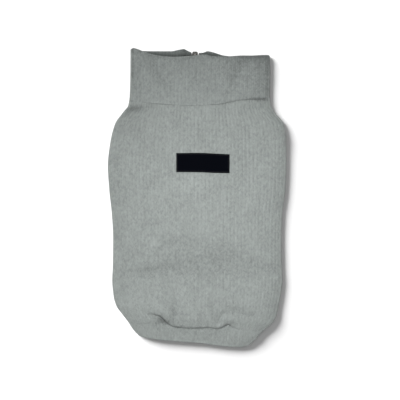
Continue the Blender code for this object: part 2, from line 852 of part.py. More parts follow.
def main():
    clear_scene()
    sweater = new_collection("dog_sweater")
    helpers = new_collection("helpers", is_helper=True)
    knit = material("rib_knit", COLOURS["knit"], 0.95)
    knit_dark = material("collar_knit", COLOURS["knit_dark"], 0.95)
    woven = material("label_weave", COLOURS["label"], 0.8)
    tape = material("zip_tape_weave", COLOURS["tape"], 0.9)
    metal = material("zip_metal", COLOURS["metal"], 0.3, 1.0)
    back = back_panel(sweater, knit)
    collar(sweater, knit_dark)
    hem_band(sweater, knit)
    belly_panel("belly_panel_left", -1, back, sweater, knit)
    belly_panel("belly_panel_right", 1, back, sweater, knit)
    label(back, sweater, woven)
    zip_tape("zip_tape_left", -1, sweater, tape)
    zip_tape("zip_tape_right", 1, sweater, tape)
    zip_slider(sweater, helpers, metal)
    zip_pull(sweater, metal)
    zip_box(sweater, metal)


main()
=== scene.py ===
"""Looks of the dog sweater: rib-knit shells on the frame's cloth, woven label, coil zip and stitching.

Sizes are in millimetres and MM turns them into the frame's metres. The garment lies back up: +Y points
to the collar, +Z up. Each shell follows the same sizes as the solid that it replaces, with the ribs,
creases and seam edges that a solid is too coarse for.
"""

import math

import bmesh
import bpy
import numpy as np
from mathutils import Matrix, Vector


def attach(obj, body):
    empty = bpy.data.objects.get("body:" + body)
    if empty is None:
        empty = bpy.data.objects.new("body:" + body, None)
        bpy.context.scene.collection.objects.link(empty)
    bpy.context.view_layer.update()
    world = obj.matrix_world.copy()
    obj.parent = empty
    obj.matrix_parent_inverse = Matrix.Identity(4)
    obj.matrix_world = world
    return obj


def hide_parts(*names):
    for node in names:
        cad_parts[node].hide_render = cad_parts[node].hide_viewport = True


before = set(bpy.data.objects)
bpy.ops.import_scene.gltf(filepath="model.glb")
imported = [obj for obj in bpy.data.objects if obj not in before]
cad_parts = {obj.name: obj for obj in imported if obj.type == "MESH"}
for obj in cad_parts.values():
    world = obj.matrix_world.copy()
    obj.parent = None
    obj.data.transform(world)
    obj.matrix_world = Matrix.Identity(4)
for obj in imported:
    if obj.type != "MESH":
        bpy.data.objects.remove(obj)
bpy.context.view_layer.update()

MM = 0.001

# ---------------------------------------------------------------- sizes of the cloth, as in the frame

KNIT = 2.0
COLLAR_WALL = 2.4
HEM_WALL = 2.4
SEAM_GAP = 0.3
RIB_PITCH = 4.05
TUCK = 23.0  # how far the back goes on under the garment from each side
CHEST_HALF = 98.0
COLLAR_HALF = 77.0
ROLL = 3.2  # mean radius of the rolled sides, which the ribs are counted by
BODY_RIBS = round(2 * (CHEST_HALF - ROLL) / RIB_PITCH)
COLLAR_RIBS = round(2 * (COLLAR_HALF - ROLL) / RIB_PITCH)
ZIP_X = -1.9
SLIT_HALF = 4.2  # half of the gap between the belly's panels, where the zip is
LEG_CENTRE = (39.0, 50.0)  # of a leg opening: across from the zip, and along
LEG_SIZE = (42.0, 58.0)
LABEL_THICK = 0.8
TAPE_INNER = 1.2  # from the zip's middle line
TAPE_OUTER = 13.0
TAPE = 0.8
TAPE_BOTTOM_Y = -150.0
TAPE_TOP_Y = 156.2
TAPE_IN_SLIDER_Z = 3.4


def smooth_curve(x, y):
    """A function through the points, smooth between them and with no overshoot (monotone cubic)."""
    slope = np.diff(y) / np.diff(x)
    tangent = np.zeros_like(y)
    for i in range(1, len(x) - 1):
        if slope[i - 1] * slope[i] > 0:
            tangent[i] = 2 / (1 / slope[i - 1] + 1 / slope[i])
    tangent[0], tangent[-1] = slope[0], slope[-1]

    def value(at):
        at = np.clip(at, x[0], x[-1])
        i = np.clip(np.searchsorted(x, at, side="right") - 1, 0, len(x) - 2)
        step = x[i + 1] - x[i]
        t = (at - x[i]) / step
        return (
            y[i] * (1 + 2 * t) * (1 - t) ** 2
            + y[i + 1] * t * t * (3 - 2 * t)
            + step * t * (1 - t) * (tangent[i] * (1 - t) - tangent[i + 1] * t)
        )

    return value


def curves(*rows):
    """A smooth function for each column of a table after its first one, which holds the places."""
    x, *columns = np.array(rows, float).T
    return [smooth_curve(x, y) for y in columns]


def curve(*rows):
    return curves(*rows)[0]


# The garment's left and right edges, by y
left_edge, right_edge = curves(
    (-165, -46.6, 53.6), (-158, -56.8, 60.8), (-151, -64.4, 69.0), (-144, -70.4, 76.6),
    (-137, -74.9, 84.0), (-129, -81.1, 88.0), (-119, -88.2, 90.0), (-108, -91.3, 92.2),
    (-90, -92.8, 94.3), (-78, -92.2, 93.5), (-45, -91.8, 93.1), (-18, -93.2, 94.0),
    (8, -96.0, 97.3), (35, -97.6, 98.4), (61, -94.8, 98.4), (81, -89.6, 95.6), (94, -80.6, 85.2),
    (101, -75.3, 81.3), (112, -73.6, 80.4), (135, -72.9, 80.9), (165, -72.7, 80.0),
)
# Heights by y: of the upper side's middle, and of the rolled sides on the left and on the right
BODY_STACK = curves(
    (-150, 7.2, 5.6, 7.5), (-141, 8.2, 6.0, 7.5), (-133, 9.3, 6.2, 6.9), (-120, 9.4, 6.2, 5.8),
    (-104, 8.4, 6.0, 5.4), (-80, 7.6, 5.8, 5.3), (-40, 7.2, 5.6, 5.0), (20, 7.1, 5.6, 5.5),
    (50, 7.2, 5.6, 6.1), (68, 7.3, 5.7, 7.1), (90, 7.8, 6.2, 6.2), (102, 8.3, 6.8, 5.5),
    (112, 8.5, 7.0, 4.8),
)
COLLAR_STACK = curves(
    (95, 8.4, 7.0, 5.6), (108, 8.5, 7.2, 4.8), (125, 8.6, 7.4, 4.9), (140, 8.7, 7.4, 5.3),
    (165, 8.7, 7.2, 5.7),
)
HEM_STACK = curves(
    (-165, 6.8, 5.4, 5.3), (-157, 7.0, 5.4, 6.4), (-150, 7.2, 5.5, 7.4), (-136, 7.7, 6.1, 7.3),
)
SECTION_POWER = 6  # how flat the upper side's section is before it falls to its rolled sides
FADE_POWER = 8  # the same for creases, which end at the sides
BODY_SAG = 0.9  # the back hangs lower halfway between its middle and its sides
SEAM_END_X = 80.0  # the seams' heights here hold for the rolled sides too
# Where the seams and edges are along Y, by x. The collar's near edge is the upper layer's
collar_seam = curve(
    (-76, 105.5), (-62, 104.6), (-50, 103.6), (-30, 102.1), (-8, 101.2), (20, 102.0), (41, 106.0),
    (59, 108.4), (82, 108.8),
)
hem_seam = curve(
    (-78, -137.6), (-52, -138.6), (-38, -138.3), (-31, -139.2), (-24, -142.0), (-7, -143.6),
    (13, -143.0), (23, -144.2), (29.5, -141.6), (34.5, -138.9), (39.5, -142.8), (50, -145.4),
    (85, -146.4),
)
hem_bottom = curve(
    (-66, -150.8), (-56, -154.2), (-40, -156.7), (-16, -158.7), (5, -160.3), (21, -162.5),
    (39, -164.2), (50, -164.5), (56, -163.2), (61, -159.2), (68, -152.6),
)
collar_top_near = curve(
    (-73, 163.2), (-70, 164.2), (-66, 163.3), (-58, 160.1), (-50, 157.5), (-40, 155.5),
    (-23, 154.3), (-10, 155.2), (0, 156.1), (9, 156.8), (16, 155.2), (27, 154.7), (40, 155.3),
    (50, 155.9), (62, 155.9), (70, 156.4), (81, 156.6),
)
collar_top_far = curve(
    (-73, 163.0), (-64, 161.6), (-54, 160.9), (-28, 160.8), (-20, 162.3), (-14.4, 163.2),
    (-9.6, 161.1), (-6, 159.7), (2.3, 159.0), (7, 159.2), (12, 160.9), (17, 159.9), (23.4, 158.0),
    (29, 156.2), (53, 154.2), (66, 154.6), (81, 155.8),
)
hem_seam_under = curve((-78, -137.6), (85, -146.4))
# The tape's height above the surface, by y
tape_height = curve(
    (-165, HEM_WALL + SEAM_GAP), (-135, HEM_WALL + SEAM_GAP), (-122, KNIT + SEAM_GAP),
    (84, KNIT + SEAM_GAP), (99, TAPE_IN_SLIDER_Z), (165, TAPE_IN_SLIDER_Z),
)

# Creases, each as the points of its line: x, y, half width and depth there. A ridge's depth is negative
BODY_FOLDS = (
    ((-54.5, -130.0, 2.6, 0.5), (-46.0, -132.0, 3.4, 1.5), (-39.0, -135.0, 3.8, 2.2),
     (-33.0, -139.3, 3.0, 1.4)),
    ((-50.0, -121.0, 4.5, -0.4), (-40.0, -123.5, 4.5, -0.9), (-33.0, -129.0, 3.6, -0.8)),
    ((-28.3, -105.0, 4.4, 0.3), (-26.1, -117.2, 4.0, 1.2), (-24.5, -129.3, 3.2, 1.9),
     (-23.9, -137.0, 3.0, 1.2)),
    ((16.8, -113.0, 5.0, 0.5), (17.0, -125.0, 3.6, 1.6), (23.4, -137.0, 2.8, 1.7),
     (28.9, -127.1, 2.6, 1.2), (35.5, -123.8, 3.4, 0.9), (47.6, -126.0, 4.2, 0.9),
     (61.9, -131.5, 4.6, 0.5)),
    ((33.0, -134.0, 4.0, -0.7), (46.0, -136.0, 4.5, -0.6), (58.0, -138.5, 4.0, -0.3)),
    ((40.0, -97.0, 8.0, -0.4), (67.4, -98.5, 7.0, -0.8)),
    ((-92.0, -84.5, 5.0, 1.0), (-72.0, -83.0, 5.0, 1.0), (-40.0, -80.2, 6.0, 1.7),
     (-15.0, -76.5, 8.0, 1.2), (12.0, -71.0, 9.0, 1.3), (40.0, -70.5, 8.0, 1.3),
     (70.0, -75.0, 7.0, 1.2), (92.0, -80.0, 6.0, 1.0)),
    ((-52.0, -70.0, 4.5, 0.3), (-43.0, -62.0, 5.0, 1.1), (-35.0, -53.0, 5.0, 1.0),
     (-18.0, -49.0, 6.0, 0.7), (5.0, -52.0, 7.0, 0.8), (30.0, -55.5, 6.5, 1.0),
     (46.0, -63.0, 6.0, 0.3)),
    ((-64.0, -72.0, 6.0, -0.4), (-48.0, -55.0, 6.0, -0.9), (-34.0, -40.0, 6.5, -0.5)),
    ((-79.0, 93.5, 3.4, 2.6), (-70.0, 97.0, 3.6, 2.4), (-60.0, 99.3, 3.2, 1.8),
     (-48.0, 101.0, 2.6, 0.9), (-36.0, 101.6, 2.2, 0.3)),
    ((50.0, 105.0, 2.0, 0.2), (62.0, 106.3, 2.4, 1.1), (72.0, 107.0, 2.6, 2.0),
     (79.0, 107.2, 2.6, 2.4)),
)
COLLAR_FOLDS = (
    ((-50.0, 156.0, 5.0, 0.9), (-45.0, 140.0, 5.0, 1.5), (-37.0, 126.0, 4.6, 1.3),
     (-29.0, 114.0, 4.0, 0.5)),
    ((54.0, 153.0, 6.0, 0.9), (45.0, 138.0, 5.0, 1.5), (39.0, 124.0, 4.6, 1.3),
     (37.0, 114.0, 4.0, 0.4)),
    ((-67.0, 122.0, 4.0, 0.9), (-54.0, 118.0, 4.0, 0.8), (-42.0, 112.0, 3.5, 0.3)),
    ((-62.0, 138.0, 5.5, -0.6), (-50.0, 127.0, 4.5, -0.4)),
    ((66.0, 130.0, 6.0, -0.6), (58.0, 114.0, 6.0, -0.4)),
)


def bell(away, width):
    """1 where away is 0, fading out within a few widths."""
    return np.exp(-((away / width) ** 2))


def stripe(away, share, width):
    """A share that is full where away is 0, and fades out within a few widths."""
    return share * bell(away, width)


def up_to(at, place, blur):
    """1 where place is less than at and 0 where it is more, blurred between."""
    return 0.5 - 0.5 * np.tanh((place - at) / blur)


def between(low, high, share):
    return low * (1 - share) + high * share


def hills(x, y, height, cell, along, seed):
    """Smooth hills and hollows up to a height, one cell across, and longer along Y where along is below 1."""
    y = y * along
    lattice = np.random.RandomState(seed).uniform(-1, 1, (64, 64))
    gx = x / cell + 32
    gy = y / cell + 32
    i = np.floor(gx).astype(int)
    j = np.floor(gy).astype(int)
    fx = gx - i
    fy = gy - j
    fx = fx * fx * (3 - 2 * fx)
    fy = fy * fy * (3 - 2 * fy)
    i0, i1, j0, j1 = i % 64, (i + 1) % 64, j % 64, (j + 1) % 64
    low = lattice[i0, j0] * (1 - fx) + lattice[i1, j0] * fx
    high = lattice[i0, j1] * (1 - fx) + lattice[i1, j1] * fx
    return height * (low * (1 - fy) + high * fy)


def pressed_by(folds, x, y):
    """How far the creases press the upper side down."""
    pressed = np.zeros(np.broadcast(x, y).shape)
    for points in folds:
        deepest = np.zeros_like(pressed)
        for (x0, y0, w0, d0), (x1, y1, w1, d1) in zip(points, points[1:]):
            run_x = x1 - x0
            run_y = y1 - y0
            t = np.clip(((x - x0) * run_x + (y - y0) * run_y) / (run_x**2 + run_y**2), 0, 1)
            away = np.hypot(x - x0 - t * run_x, y - y0 - t * run_y)
            here = between(d0, d1, t) * bell(away, between(w0, w1, t))
            deepest = np.where(np.abs(here) > np.abs(deepest), here, deepest)
        pressed += deepest
    return pressed


# Finer creases, which only this shell has
FINE_FOLDS = (
    ((-50, -136.6, 1.4, 0.2), (-36, -137.2, 1.5, 0.4)),
    ((34.0, -132.5, 1.8, 0.25), (33.5, -138.8, 1.8, 0.60)),
    ((52, -131.0, 3.0, 0.10), (60, -141.0, 2.6, 0.30)),
    ((-9, -130.0, 2.6, 0.05), (-6, -142.0, 1.8, 0.30)),
    ((8, -129.0, 2.6, 0.05), (5, -141.5, 1.9, 0.28)),
    ((-19, -131.0, 2.4, 0.05), (-16, -142.0, 1.8, 0.25)),
    ((-64, -126.0, 3.6, 0.10), (-57, -136.0, 2.6, 0.25)),
    ((-76, 99.5, 1.5, 0.45), (-62, 101.8, 1.4, 0.25)),
    ((62, 99.0, 3.4, 0.15), (79, 103.5, 2.6, 0.40)),
)

# Soft patches of painted shade, and of painted light where the share is negative: x, y, half widths
# across and along, share
BODY_PAINTED_SHADES = (
    (2.0, -62.0, 52.0, 16.0, 0.10), (4.0, -82.0, 60.0, 8.0, 0.06), (-84.0, 82.0, 20.0, 26.0, 0.11),
    (-68.0, 97.0, 14.0, 6.0, 0.12), (-88.0, -14.0, 12.0, 36.0, 0.09),
    (72.0, 100.0, 10.0, 5.0, 0.06), (-38.0, -134.0, 9.0, 5.0, 0.13),
    (-44.0, -137.4, 8.0, 1.0, 0.12), (62.0, -142.0, 26.0, 14.0, -0.06),
    (-72.0, -126.0, 18.0, 14.0, -0.11), (-62.0, -146.0, 12.0, 10.0, -0.05),
    (-13.0, 13.0, 16.0, 11.0, -0.09), (-36.0, -135.2, 6.0, 2.0, 0.20),
    (32.6, -140.6, 3.2, 1.8, 0.12), (20.0, -164.0, 60.0, 4.0, -0.06),
    (-44.0, -154.0, 14.0, 8.0, -0.06), (69.0, 107.8, 11.0, 1.4, 0.26),
    (74.5, 107.4, 3.5, 1.6, 0.20), (-7.0, -147.0, 34.0, 7.0, 0.045),
    (18.0, -90.0, 34.0, 13.0, 0.045), (-66.0, 70.0, 24.0, 10.0, 0.035),
    (80.0, 38.0, 22.0, 24.0, -0.035), (-34.0, -118.0, 10.0, 9.0, 0.045),
    (92.0, -3.0, 7.0, 22.0, 0.04), (42.0, -17.0, 22.0, 12.0, 0.035),
    (38.0, -102.0, 14.0, 10.0, 0.035), (-71.0, 98.0, 11.0, 2.8, 0.19),
    (-62.0, 102.4, 9.0, 2.2, -0.12),
)
# the collar's soft patches of painted shade, and of painted light where the share is negative
COLLAR_PAINTED_SHADES = (
    (86.0, 146.0, 32.0, 34.0, 0.13), (-80.0, 146.0, 20.0, 30.0, 0.09),
    (10.0, 172.0, 110.0, 32.0, 0.10), (-14.0, 105.0, 44.0, 6.0, -0.04),
    (70.0, 158.0, 22.0, 8.0, 0.16), (64.0, 154.4, 18.0, 2.2, 0.15), (74.5, 107.6, 3.5, 1.6, 0.20),
    (30.0, 157.5, 12.0, 4.0, 0.08), (69.0, 109.0, 11.0, 1.3, 0.26), (56.0, 147.0, 22.0, 9.0, 0.05),
    (25.0, 109.0, 22.0, 5.0, -0.04),
)
CREASE_PAINTED_SHADE = 0.052  # painted shade for each millimetre of a crease's depth
# painted light for each millimetre of a ridge's height
RIDGE_PAINTED_LIGHT = 0.030


def patches_at(patches, x, y):
    """The share of painted shade from the soft patches alone."""
    shade = 0.0
    for x0, y0, across, along, share in patches:
        shade = shade + share * bell(x - x0, across) * bell(y - y0, along)
    return shade


def shade_at(patches, folds, x, y):
    """The share of painted shade on the knit: soft patches, creases by their depth, and painted light on
    ridges.
    """
    pressed = pressed_by(folds, x, y)
    return patches_at(patches, x, y) + np.where(pressed > 0, CREASE_PAINTED_SHADE, RIDGE_PAINTED_LIGHT) * pressed


def nothing(x, y):
    """No overhang or shade."""
    return 0 * x


class Wrap:
    """A piece of cloth laid over the garment and round both of its sides to the side underneath.

    s runs across: -1 to 1 over the upper side from edge to edge, 1 to 2 round the right side and 2 to 3
    along the underside to the piece's end there, and -1 to -3 likewise on the left. v runs along Y from
    the lower edge to the upper one, and inset is the depth below the outer surface.
    """

    def __init__(
        self,
        wall,
        widest,
        stack,
        lower,
        upper,
        ends,
        folds,
        relief,
        shade,
        sag=0.0,
        lower_under=None,
        upper_under=None,
        overhang=nothing,
        inner_shade=nothing,
    ):
        self.wall = wall
        self.widest = widest
        self.middle, self.left, self.right = stack
        self.lower = lower
        self.upper = upper
        self.lower_under = lower_under or lower
        self.upper_under = upper_under or upper
        self.ends = ends
        self.folds = folds
        self.sag = sag
        self.relief = relief  # adds to the upper side's height
        self.overhang = overhang  # moves the upper side's points towards the hem
        self.shade = shade  # the share of painted shade on the knit
        self.inner_shade = inner_shade  # the same on its plain inside

    def side(self, sign, y):
        """Height of a rolled side."""
        return np.where(sign > 0, self.right(y), self.left(y))

    def height(self, x, y, plain=False):
        """Height of the upper surface without its ribs, and without its relief where plain is set."""
        edge = np.where(x > 0, right_edge(y), -left_edge(y))
        side = self.side(x, y)
        reach = np.minimum(1.0, np.abs(x) / (edge - side / 2))
        fade = 1 - reach**FADE_POWER
        z = side + (self.middle(y) - side) * (1 - reach**SECTION_POWER)
        z = z - pressed_by(self.folds, x, y) * fade - self.sag * np.sin(np.pi * reach) ** 2
        return z if plain else z + self.relief(x, y) * fade

    def points(self, s, v, dy, inset):
        """The points at the places s and v, moved by dy along Y and by inset below the surface."""

        def row_above(x):
            return between(self.lower(x), self.upper(x), v)

        def row_below(x):
            return between(self.lower_under(x), self.upper_under(x), v)

        sign = np.where(s >= 0, 1.0, -1.0)
        s = np.abs(s)
        y_side = row_above(SEAM_END_X * sign)
        edge = np.where(sign > 0, right_edge(y_side), -left_edge(y_side))
        radius = self.side(sign, y_side) / 2
        flat = edge - radius
        widest = self.widest - radius
        over, turn, under = (np.clip(s - start, 0, 1) for start in (0, 1, 2))
        # over the upper side
        x_over = sign * (over * widest - (widest - flat) * over * over)
        y_over = row_above(x_over) + dy
        z_over = self.height(x_over, y_over) - inset
        # round the side
        x_turn = sign * (flat + (radius - inset) * np.sin(turn * np.pi))
        y_turn = between(row_above(x_turn), row_below(x_turn), turn) + dy
        z_turn = radius + (radius - inset) * np.cos(turn * np.pi)
        # along the underside, whose end is found a second time at the row's own height
        x_under = between(sign * flat, self.ends(sign, y_side), under)
        y_under = row_below(x_under) + dy
        x_under = between(sign * flat, self.ends(sign, y_under), under)
        grids = ((x_over, x_turn, x_under), (y_over, y_turn, y_under), (z_over, z_turn, inset))
        return np.stack([np.select([s <= 1, s <= 2], [a, b], c) for a, b, c in grids], axis=-1)


# ---------------------------------------------------------------- mesh helpers


def mesh_piece(name, points, faces, material, uv=None, inside=None):
    """A new object from points in millimetres and faces.

    uv holds a pair for each point, and inside is 1 for each face that shows the knit's inside, which takes a
    darker knit as painted shade.
    """
    data = bpy.data.meshes.new(name)
    data.from_pydata((np.asarray(points, float) * MM).tolist(), [], faces)
    if uv is not None:
        layer = data.uv_layers.new(name="knit")
        loops = np.empty(len(data.loops), np.int32)
        data.loops.foreach_get("vertex_index", loops)
        layer.data.foreach_set("uv", np.asarray(uv, np.float32)[loops].ravel())
    data.materials.append(material)
    if inside is not None:
        data.materials.append(INSIDE_SHADED_KNIT)
        data.polygons.foreach_set("material_index", np.asarray(inside, np.int32))
    data.shade_smooth()
    obj = bpy.data.objects.new(name, data)
    bpy.context.scene.collection.objects.link(obj)
    return obj


def grid_faces(rows, columns, first=0, flip=False):
    """The quads of a grid whose points are numbered row by row."""
    i, j = np.meshgrid(np.arange(rows - 1), np.arange(columns - 1), indexing="ij")
    a = (first + i * columns + j).ravel()
    quads = np.stack([a, a + 1, a + columns + 1, a + columns], axis=1)
    return quads[:, ::-1].tolist() if flip else quads.tolist()


def wall_faces(start, count, levels, flip=False):
    """The quads between closed outlines of count points, stacked on one another."""
    faces = []
    for a in range(start, start + (levels - 1) * count, count):
        b = a + count
        for k in range(count):
            m = (k + 1) % count
            faces.append((a + k, b + k, b + m, a + m) if flip else (a + k, a + m, b + m, b + k))
    return faces


def bar_faces(count, levels):
    """The faces of a bar: its walls, turned outwards along its path, and its two flat ends."""
    last = (levels - 1) * count
    ends = [tuple(range(count)), tuple(range(last, last + count))[::-1]]
    return wall_faces(0, count, levels, flip=True) + ends


def thick_sheet(top, low, flip=False):
    """(points, faces) of a closed sheet from the grids of its two sides."""
    rows, columns = top.shape[:2]
    start = rows * columns
    faces = grid_faces(rows, columns, flip=flip) + grid_faces(rows, columns, start, flip=not flip)
    loop = list(range(columns)) + [r * columns + columns - 1 for r in range(1, rows)]
    loop += [(rows - 1) * columns + c for c in range(columns - 2, -1, -1)]
    loop += [r * columns for r in range(rows - 2, 0, -1)]
    for a, b in zip(loop, loop[1:] + loop[:1]):
        faces.append((a, b, b + start, a + start) if flip else (b, a, a + start, b + start))
    return np.concatenate([top.reshape(-1, 3), low.reshape(-1, 3)]), faces


def strip_faces(first, second, places_first, places_second, flip=False):
    """Triangles between two runs of points with unlike counts, matched by their places."""
    faces = []
    i = j = 0
    while i < len(first) - 1 or j < len(second) - 1:
        take_first = j == len(second) - 1 or (
            i < len(first) - 1 and places_first[i + 1] <= places_second[j + 1]
        )
        if take_first:
            faces.append((first[i], second[j], first[i + 1]))
            i += 1
        else:
            faces.append((first[i], second[j], second[j + 1]))
            j += 1
    return [face[::-1] for face in faces] if flip else faces


def tube(path, radius, sides=5):
    """(points, faces) of a round tube along a path of points, with flat ends."""
    path = np.asarray(path, float)
    ahead = np.concatenate([path[1:2] - path[:1], path[2:] - path[:-2], path[-1:] - path[-2:-1]])
    ahead /= np.linalg.norm(ahead, axis=1, keepdims=True)
    up = np.where(np.abs(ahead[:, 2:3]) < 0.9, [[0.0, 0.0, 1.0]], [[0.0, 1.0, 0.0]])
    side = np.cross(ahead, up)
    side /= np.linalg.norm(side, axis=1, keepdims=True)
    up = np.cross(side, ahead)
    turns = np.arange(sides) * 2 * np.pi / sides
    ring = side[:, None] * np.cos(turns)[None, :, None] + up[:, None] * np.sin(turns)[None, :, None]
    return (path[:, None] + ring * radius).reshape(-1, 3), bar_faces(sides, len(path))


def joined(parts):
    """Several (points, faces) as one."""
    points = []
    faces = []
    start = 0
    for part_points, part_faces in parts:
        points.append(part_points)
        faces += [tuple(start + k for k in face) for face in part_faces]
        start += len(part_points)
    return np.concatenate(points), faces


# ---------------------------------------------------------------- materials


class Shading:
    """A material's node tree, built a node at a time."""

    def __init__(self, name, roughness, colour=None, metallic=0.0):
        self.material = bpy.data.materials.new(name)
        self.material.use_nodes = True
        self.tree = self.material.node_tree
        self.shader = self.tree.nodes["Principled BSDF"]
        self.set(Roughness=roughness, Metallic=metallic)
        if colour:
            self.set(Base_Color=(*colour, 1.0))

    def set(self, **inputs):
        """The shader's own inputs, by name."""
        for name, value in inputs.items():
            self.feed(self.shader, name, value)

    def node(self, kind, settings=None, numbered=None, **inputs):
        """A new node. Its inputs go by name, or by number where one name is used twice."""
        made = self.tree.nodes.new(kind)
        for name, value in (settings or {}).items():
            setattr(made, name, value)
        for key, value in [*(numbered or {}).items(), *inputs.items()]:
            self.feed(made, key, value)
        return made

    def feed(self, node, key, value):
        socket = node.inputs[key.replace("_", " ") if isinstance(key, str) else key]
        if isinstance(value, bpy.types.NodeSocket):
            self.tree.links.new(value, socket)
        else:
            socket.default_value = value

    def math(self, operation, first, second=0.0, clamp=False):
        settings = {"operation": operation, "use_clamp": clamp}
        return self.node("ShaderNodeMath", settings, {0: first, 1: second}).outputs[0]

    def add(self, first, second):
        return self.math("ADD", first, second)

    def less(self, first, second):
        return self.math("SUBTRACT", first, second)

    def times(self, first, second):
        return self.math("MULTIPLY", first, second)

    def wave(self, value):
        """A sine of the value, in radians."""
        return self.math("SINE", value)

    def mix(self, share, first, second):
        """A colour between two."""
        return self.node("ShaderNodeMix", {"data_type": "RGBA"}, {0: share, 6: first, 7: second}).outputs[2]

    def blend(self, share, first, second):
        """A number between two."""
        return self.node("ShaderNodeMix", None, {0: share, 2: first, 3: second}).outputs[0]

    def noise(self, vector, scale, detail, roughness):
        made = self.node("ShaderNodeTexNoise", Vector=vector, Scale=scale, Detail=detail, Roughness=roughness)
        return made.outputs["Fac"]

    def spread(self, value, low, high, to_low=0.0, to_high=1.0):
        """The range from low to high as another one, held at its ends."""
        ends = dict(From_Min=low, From_Max=high, To_Min=to_low, To_Max=to_high)
        return self.node("ShaderNodeMapRange", Value=value, **ends).outputs[0]

    def scaled(self, vector, by):
        return self.node("ShaderNodeVectorMath", {"operation": "MULTIPLY"}, {0: vector, 1: by}).outputs[0]

    def bump(self, height, distance, strength):
        return self.node("ShaderNodeBump", Height=height, Distance=distance, Strength=strength).outputs[0]

    def split(self, vector):
        """The vector's first two numbers."""
        return self.node("ShaderNodeSeparateXYZ", Vector=vector).outputs[:2]

    def place(self):
        return self.node("ShaderNodeTexCoord").outputs["Object"]

    def uv(self):
        return self.node("ShaderNodeUVMap", {"uv_map": "knit"}).outputs[0]


def tones(colour, dark, pale):
    """The colour made darker and paler, as a pair."""
    return [(*(min(1.0, c * by) for c in colour), 1.0) for by in (dark, pale)]


COURSES_PER_MM = 0.62  # rows of stitches along a rib
LEG_SLANT = 2.4  # rows that a stitch's leg climbs, for each rib's width
COLUMN_HALF = 0.34  # half the width of a rib's column of stitches, as a share of the pitch
COLUMN_BLUR = 0.05
COLUMN_SPLIT = (0.35, 0.06)  # depth and half width of the line down the middle of a column's stitches
BAR_HEIGHT = 0.35  # of a valley's bars of purl, as a share of a stitch's height
VALLEY_EDGE = (0.34, 0.44)  # a valley's painted shade sets in between these places, from a rib's middle line
VALLEY_PAINTED_SHADE = (0.01, 0.075)  # painted shade in the valleys near the hem and near the neck
HEM_TO_NECK = (-0.08, 0.01)  # the heights along Y of the two, in metres
FUZZ = 0.5  # height of the fibres that stand off, as a share of a stitch's
STITCH_DEPTH = 0.00035


def knit_material(name, colour):
    """Heathered rib knit. The uv map counts ribs across and rows of stitches along.

    The mesh's shade, where it has one, is painted shade: the share by which the knit is darker there, and
    painted light where it is negative.
    """
    look = Shading(name, 0.95)
    uv = look.uv()
    place = look.place()
    ribs, rows = look.split(uv)

    # a rib is a column of V stitches, and bars of purl cross the valley to the next rib
    from_middle = look.math("ABSOLUTE", look.less(look.math("FRACT", ribs), 0.5))
    bent = look.add(rows, look.times(from_middle, LEG_SLANT))
    leg = look.spread(look.wave(look.times(bent, 2 * math.pi)), -1, 1)
    bar = look.spread(look.wave(look.times(rows, 2 * math.pi)), -1, 1, 0.0, BAR_HEIGHT)
    in_valley = look.spread(from_middle, COLUMN_HALF - COLUMN_BLUR, COLUMN_HALF + COLUMN_BLUR)
    depth, width = COLUMN_SPLIT
    stitch = look.less(look.blend(in_valley, leg, bar), look.spread(from_middle, 0.0, width, depth, 0.0))

    # heather: each stitch has its own grey, and fibres and blotches cross them; the stitches' hollows get
    # painted shade and their tops painted light
    half_rib = look.math("FLOOR", look.times(ribs, 2.0))
    cell = look.node("ShaderNodeCombineXYZ", X=half_rib, Y=look.math("FLOOR", bent)).outputs[0]
    own = look.node("ShaderNodeTexWhiteNoise", {"noise_dimensions": "2D"}, Vector=cell).outputs["Value"]
    fibre = look.noise(look.scaled(uv, (3.0, 1.05, 1.0)), 1.0, 3.0, 0.65)
    blotch = look.noise(look.scaled(uv, (1.15, 0.36, 1.0)), 1.0, 2.0, 0.6)
    fleck = look.noise(look.scaled(place, (900.0, 420.0, 900.0)), 1.0, 2.0, 0.6)
    broad = look.noise(place, 55.0, 2.0, 0.5)
    tone = 0.51
    for value, low, high, darker, paler in (
        (fibre, 0.25, 0.75, -0.13, 0.13),
        (own, 0.0, 1.0, -0.095, 0.095),
        (blotch, 0.25, 0.75, -0.12, 0.12),
        (broad, 0.3, 0.7, -0.05, 0.05),
        (stitch, 0.0, 1.0, -0.06, 0.06),
        (fleck, 0.66, 0.74, 0.0, 0.14),
        (fleck, 0.28, 0.36, -0.12, 0.0),
    ):
        tone = look.add(tone, look.spread(value, low, high, darker, paler))
    # painted shade in the valleys between ribs, stronger towards the neck
    valley_shade = look.spread(look.split(place)[1], *HEM_TO_NECK, *VALLEY_PAINTED_SHADE)
    tone = look.less(tone, look.times(valley_shade, look.spread(from_middle, *VALLEY_EDGE)))
    # the mesh's painted shade, and painted light where it is negative
    shade = look.node("ShaderNodeAttribute", {"attribute_name": "shade"}).outputs["Fac"]
    share = look.math("SUBTRACT", tone, shade, clamp=True)
    fuzz = look.noise(place, 2600.0, 3.0, 0.7)
    look.set(
        Base_Color=look.mix(share, *tones(colour, 0.5, 1.5)),
        Normal=look.bump(look.add(stitch, look.times(fuzz, FUZZ)), STITCH_DEPTH, 0.8),
        Sheen_Weight=0.22,
        Sheen_Roughness=0.55,
        Specular_IOR_Level=0.15,
    )
    return look.material


def woven_material(name, colour, threads_per_mm, contrast, roughness, sheen, specular=0.3):
    """A plain weave on a flat piece, from its place across and along."""
    look = Shading(name, roughness)
    place = look.place()
    turns = 2 * math.pi * threads_per_mm / MM
    weave = look.times(*(look.wave(look.times(axis, turns)) for axis in look.split(place)))
    fibre = look.noise(place, 1800.0, 2.0, 0.6)
    tone = look.spread(weave, -1, 1, 0.5 - contrast, 0.5 + contrast)
    tone = look.add(tone, look.spread(fibre, 0.3, 0.7, -0.1, 0.1))
    relief = look.add(look.times(weave, 0.5), look.times(fibre, 0.4))
    look.set(
        Base_Color=look.mix(tone, *tones(colour, 0.4, 1.6)),
        Normal=look.bump(relief, 0.00012, 0.7),
        Sheen_Weight=sheen,
        Specular_IOR_Level=specular,
    )
    return look.material


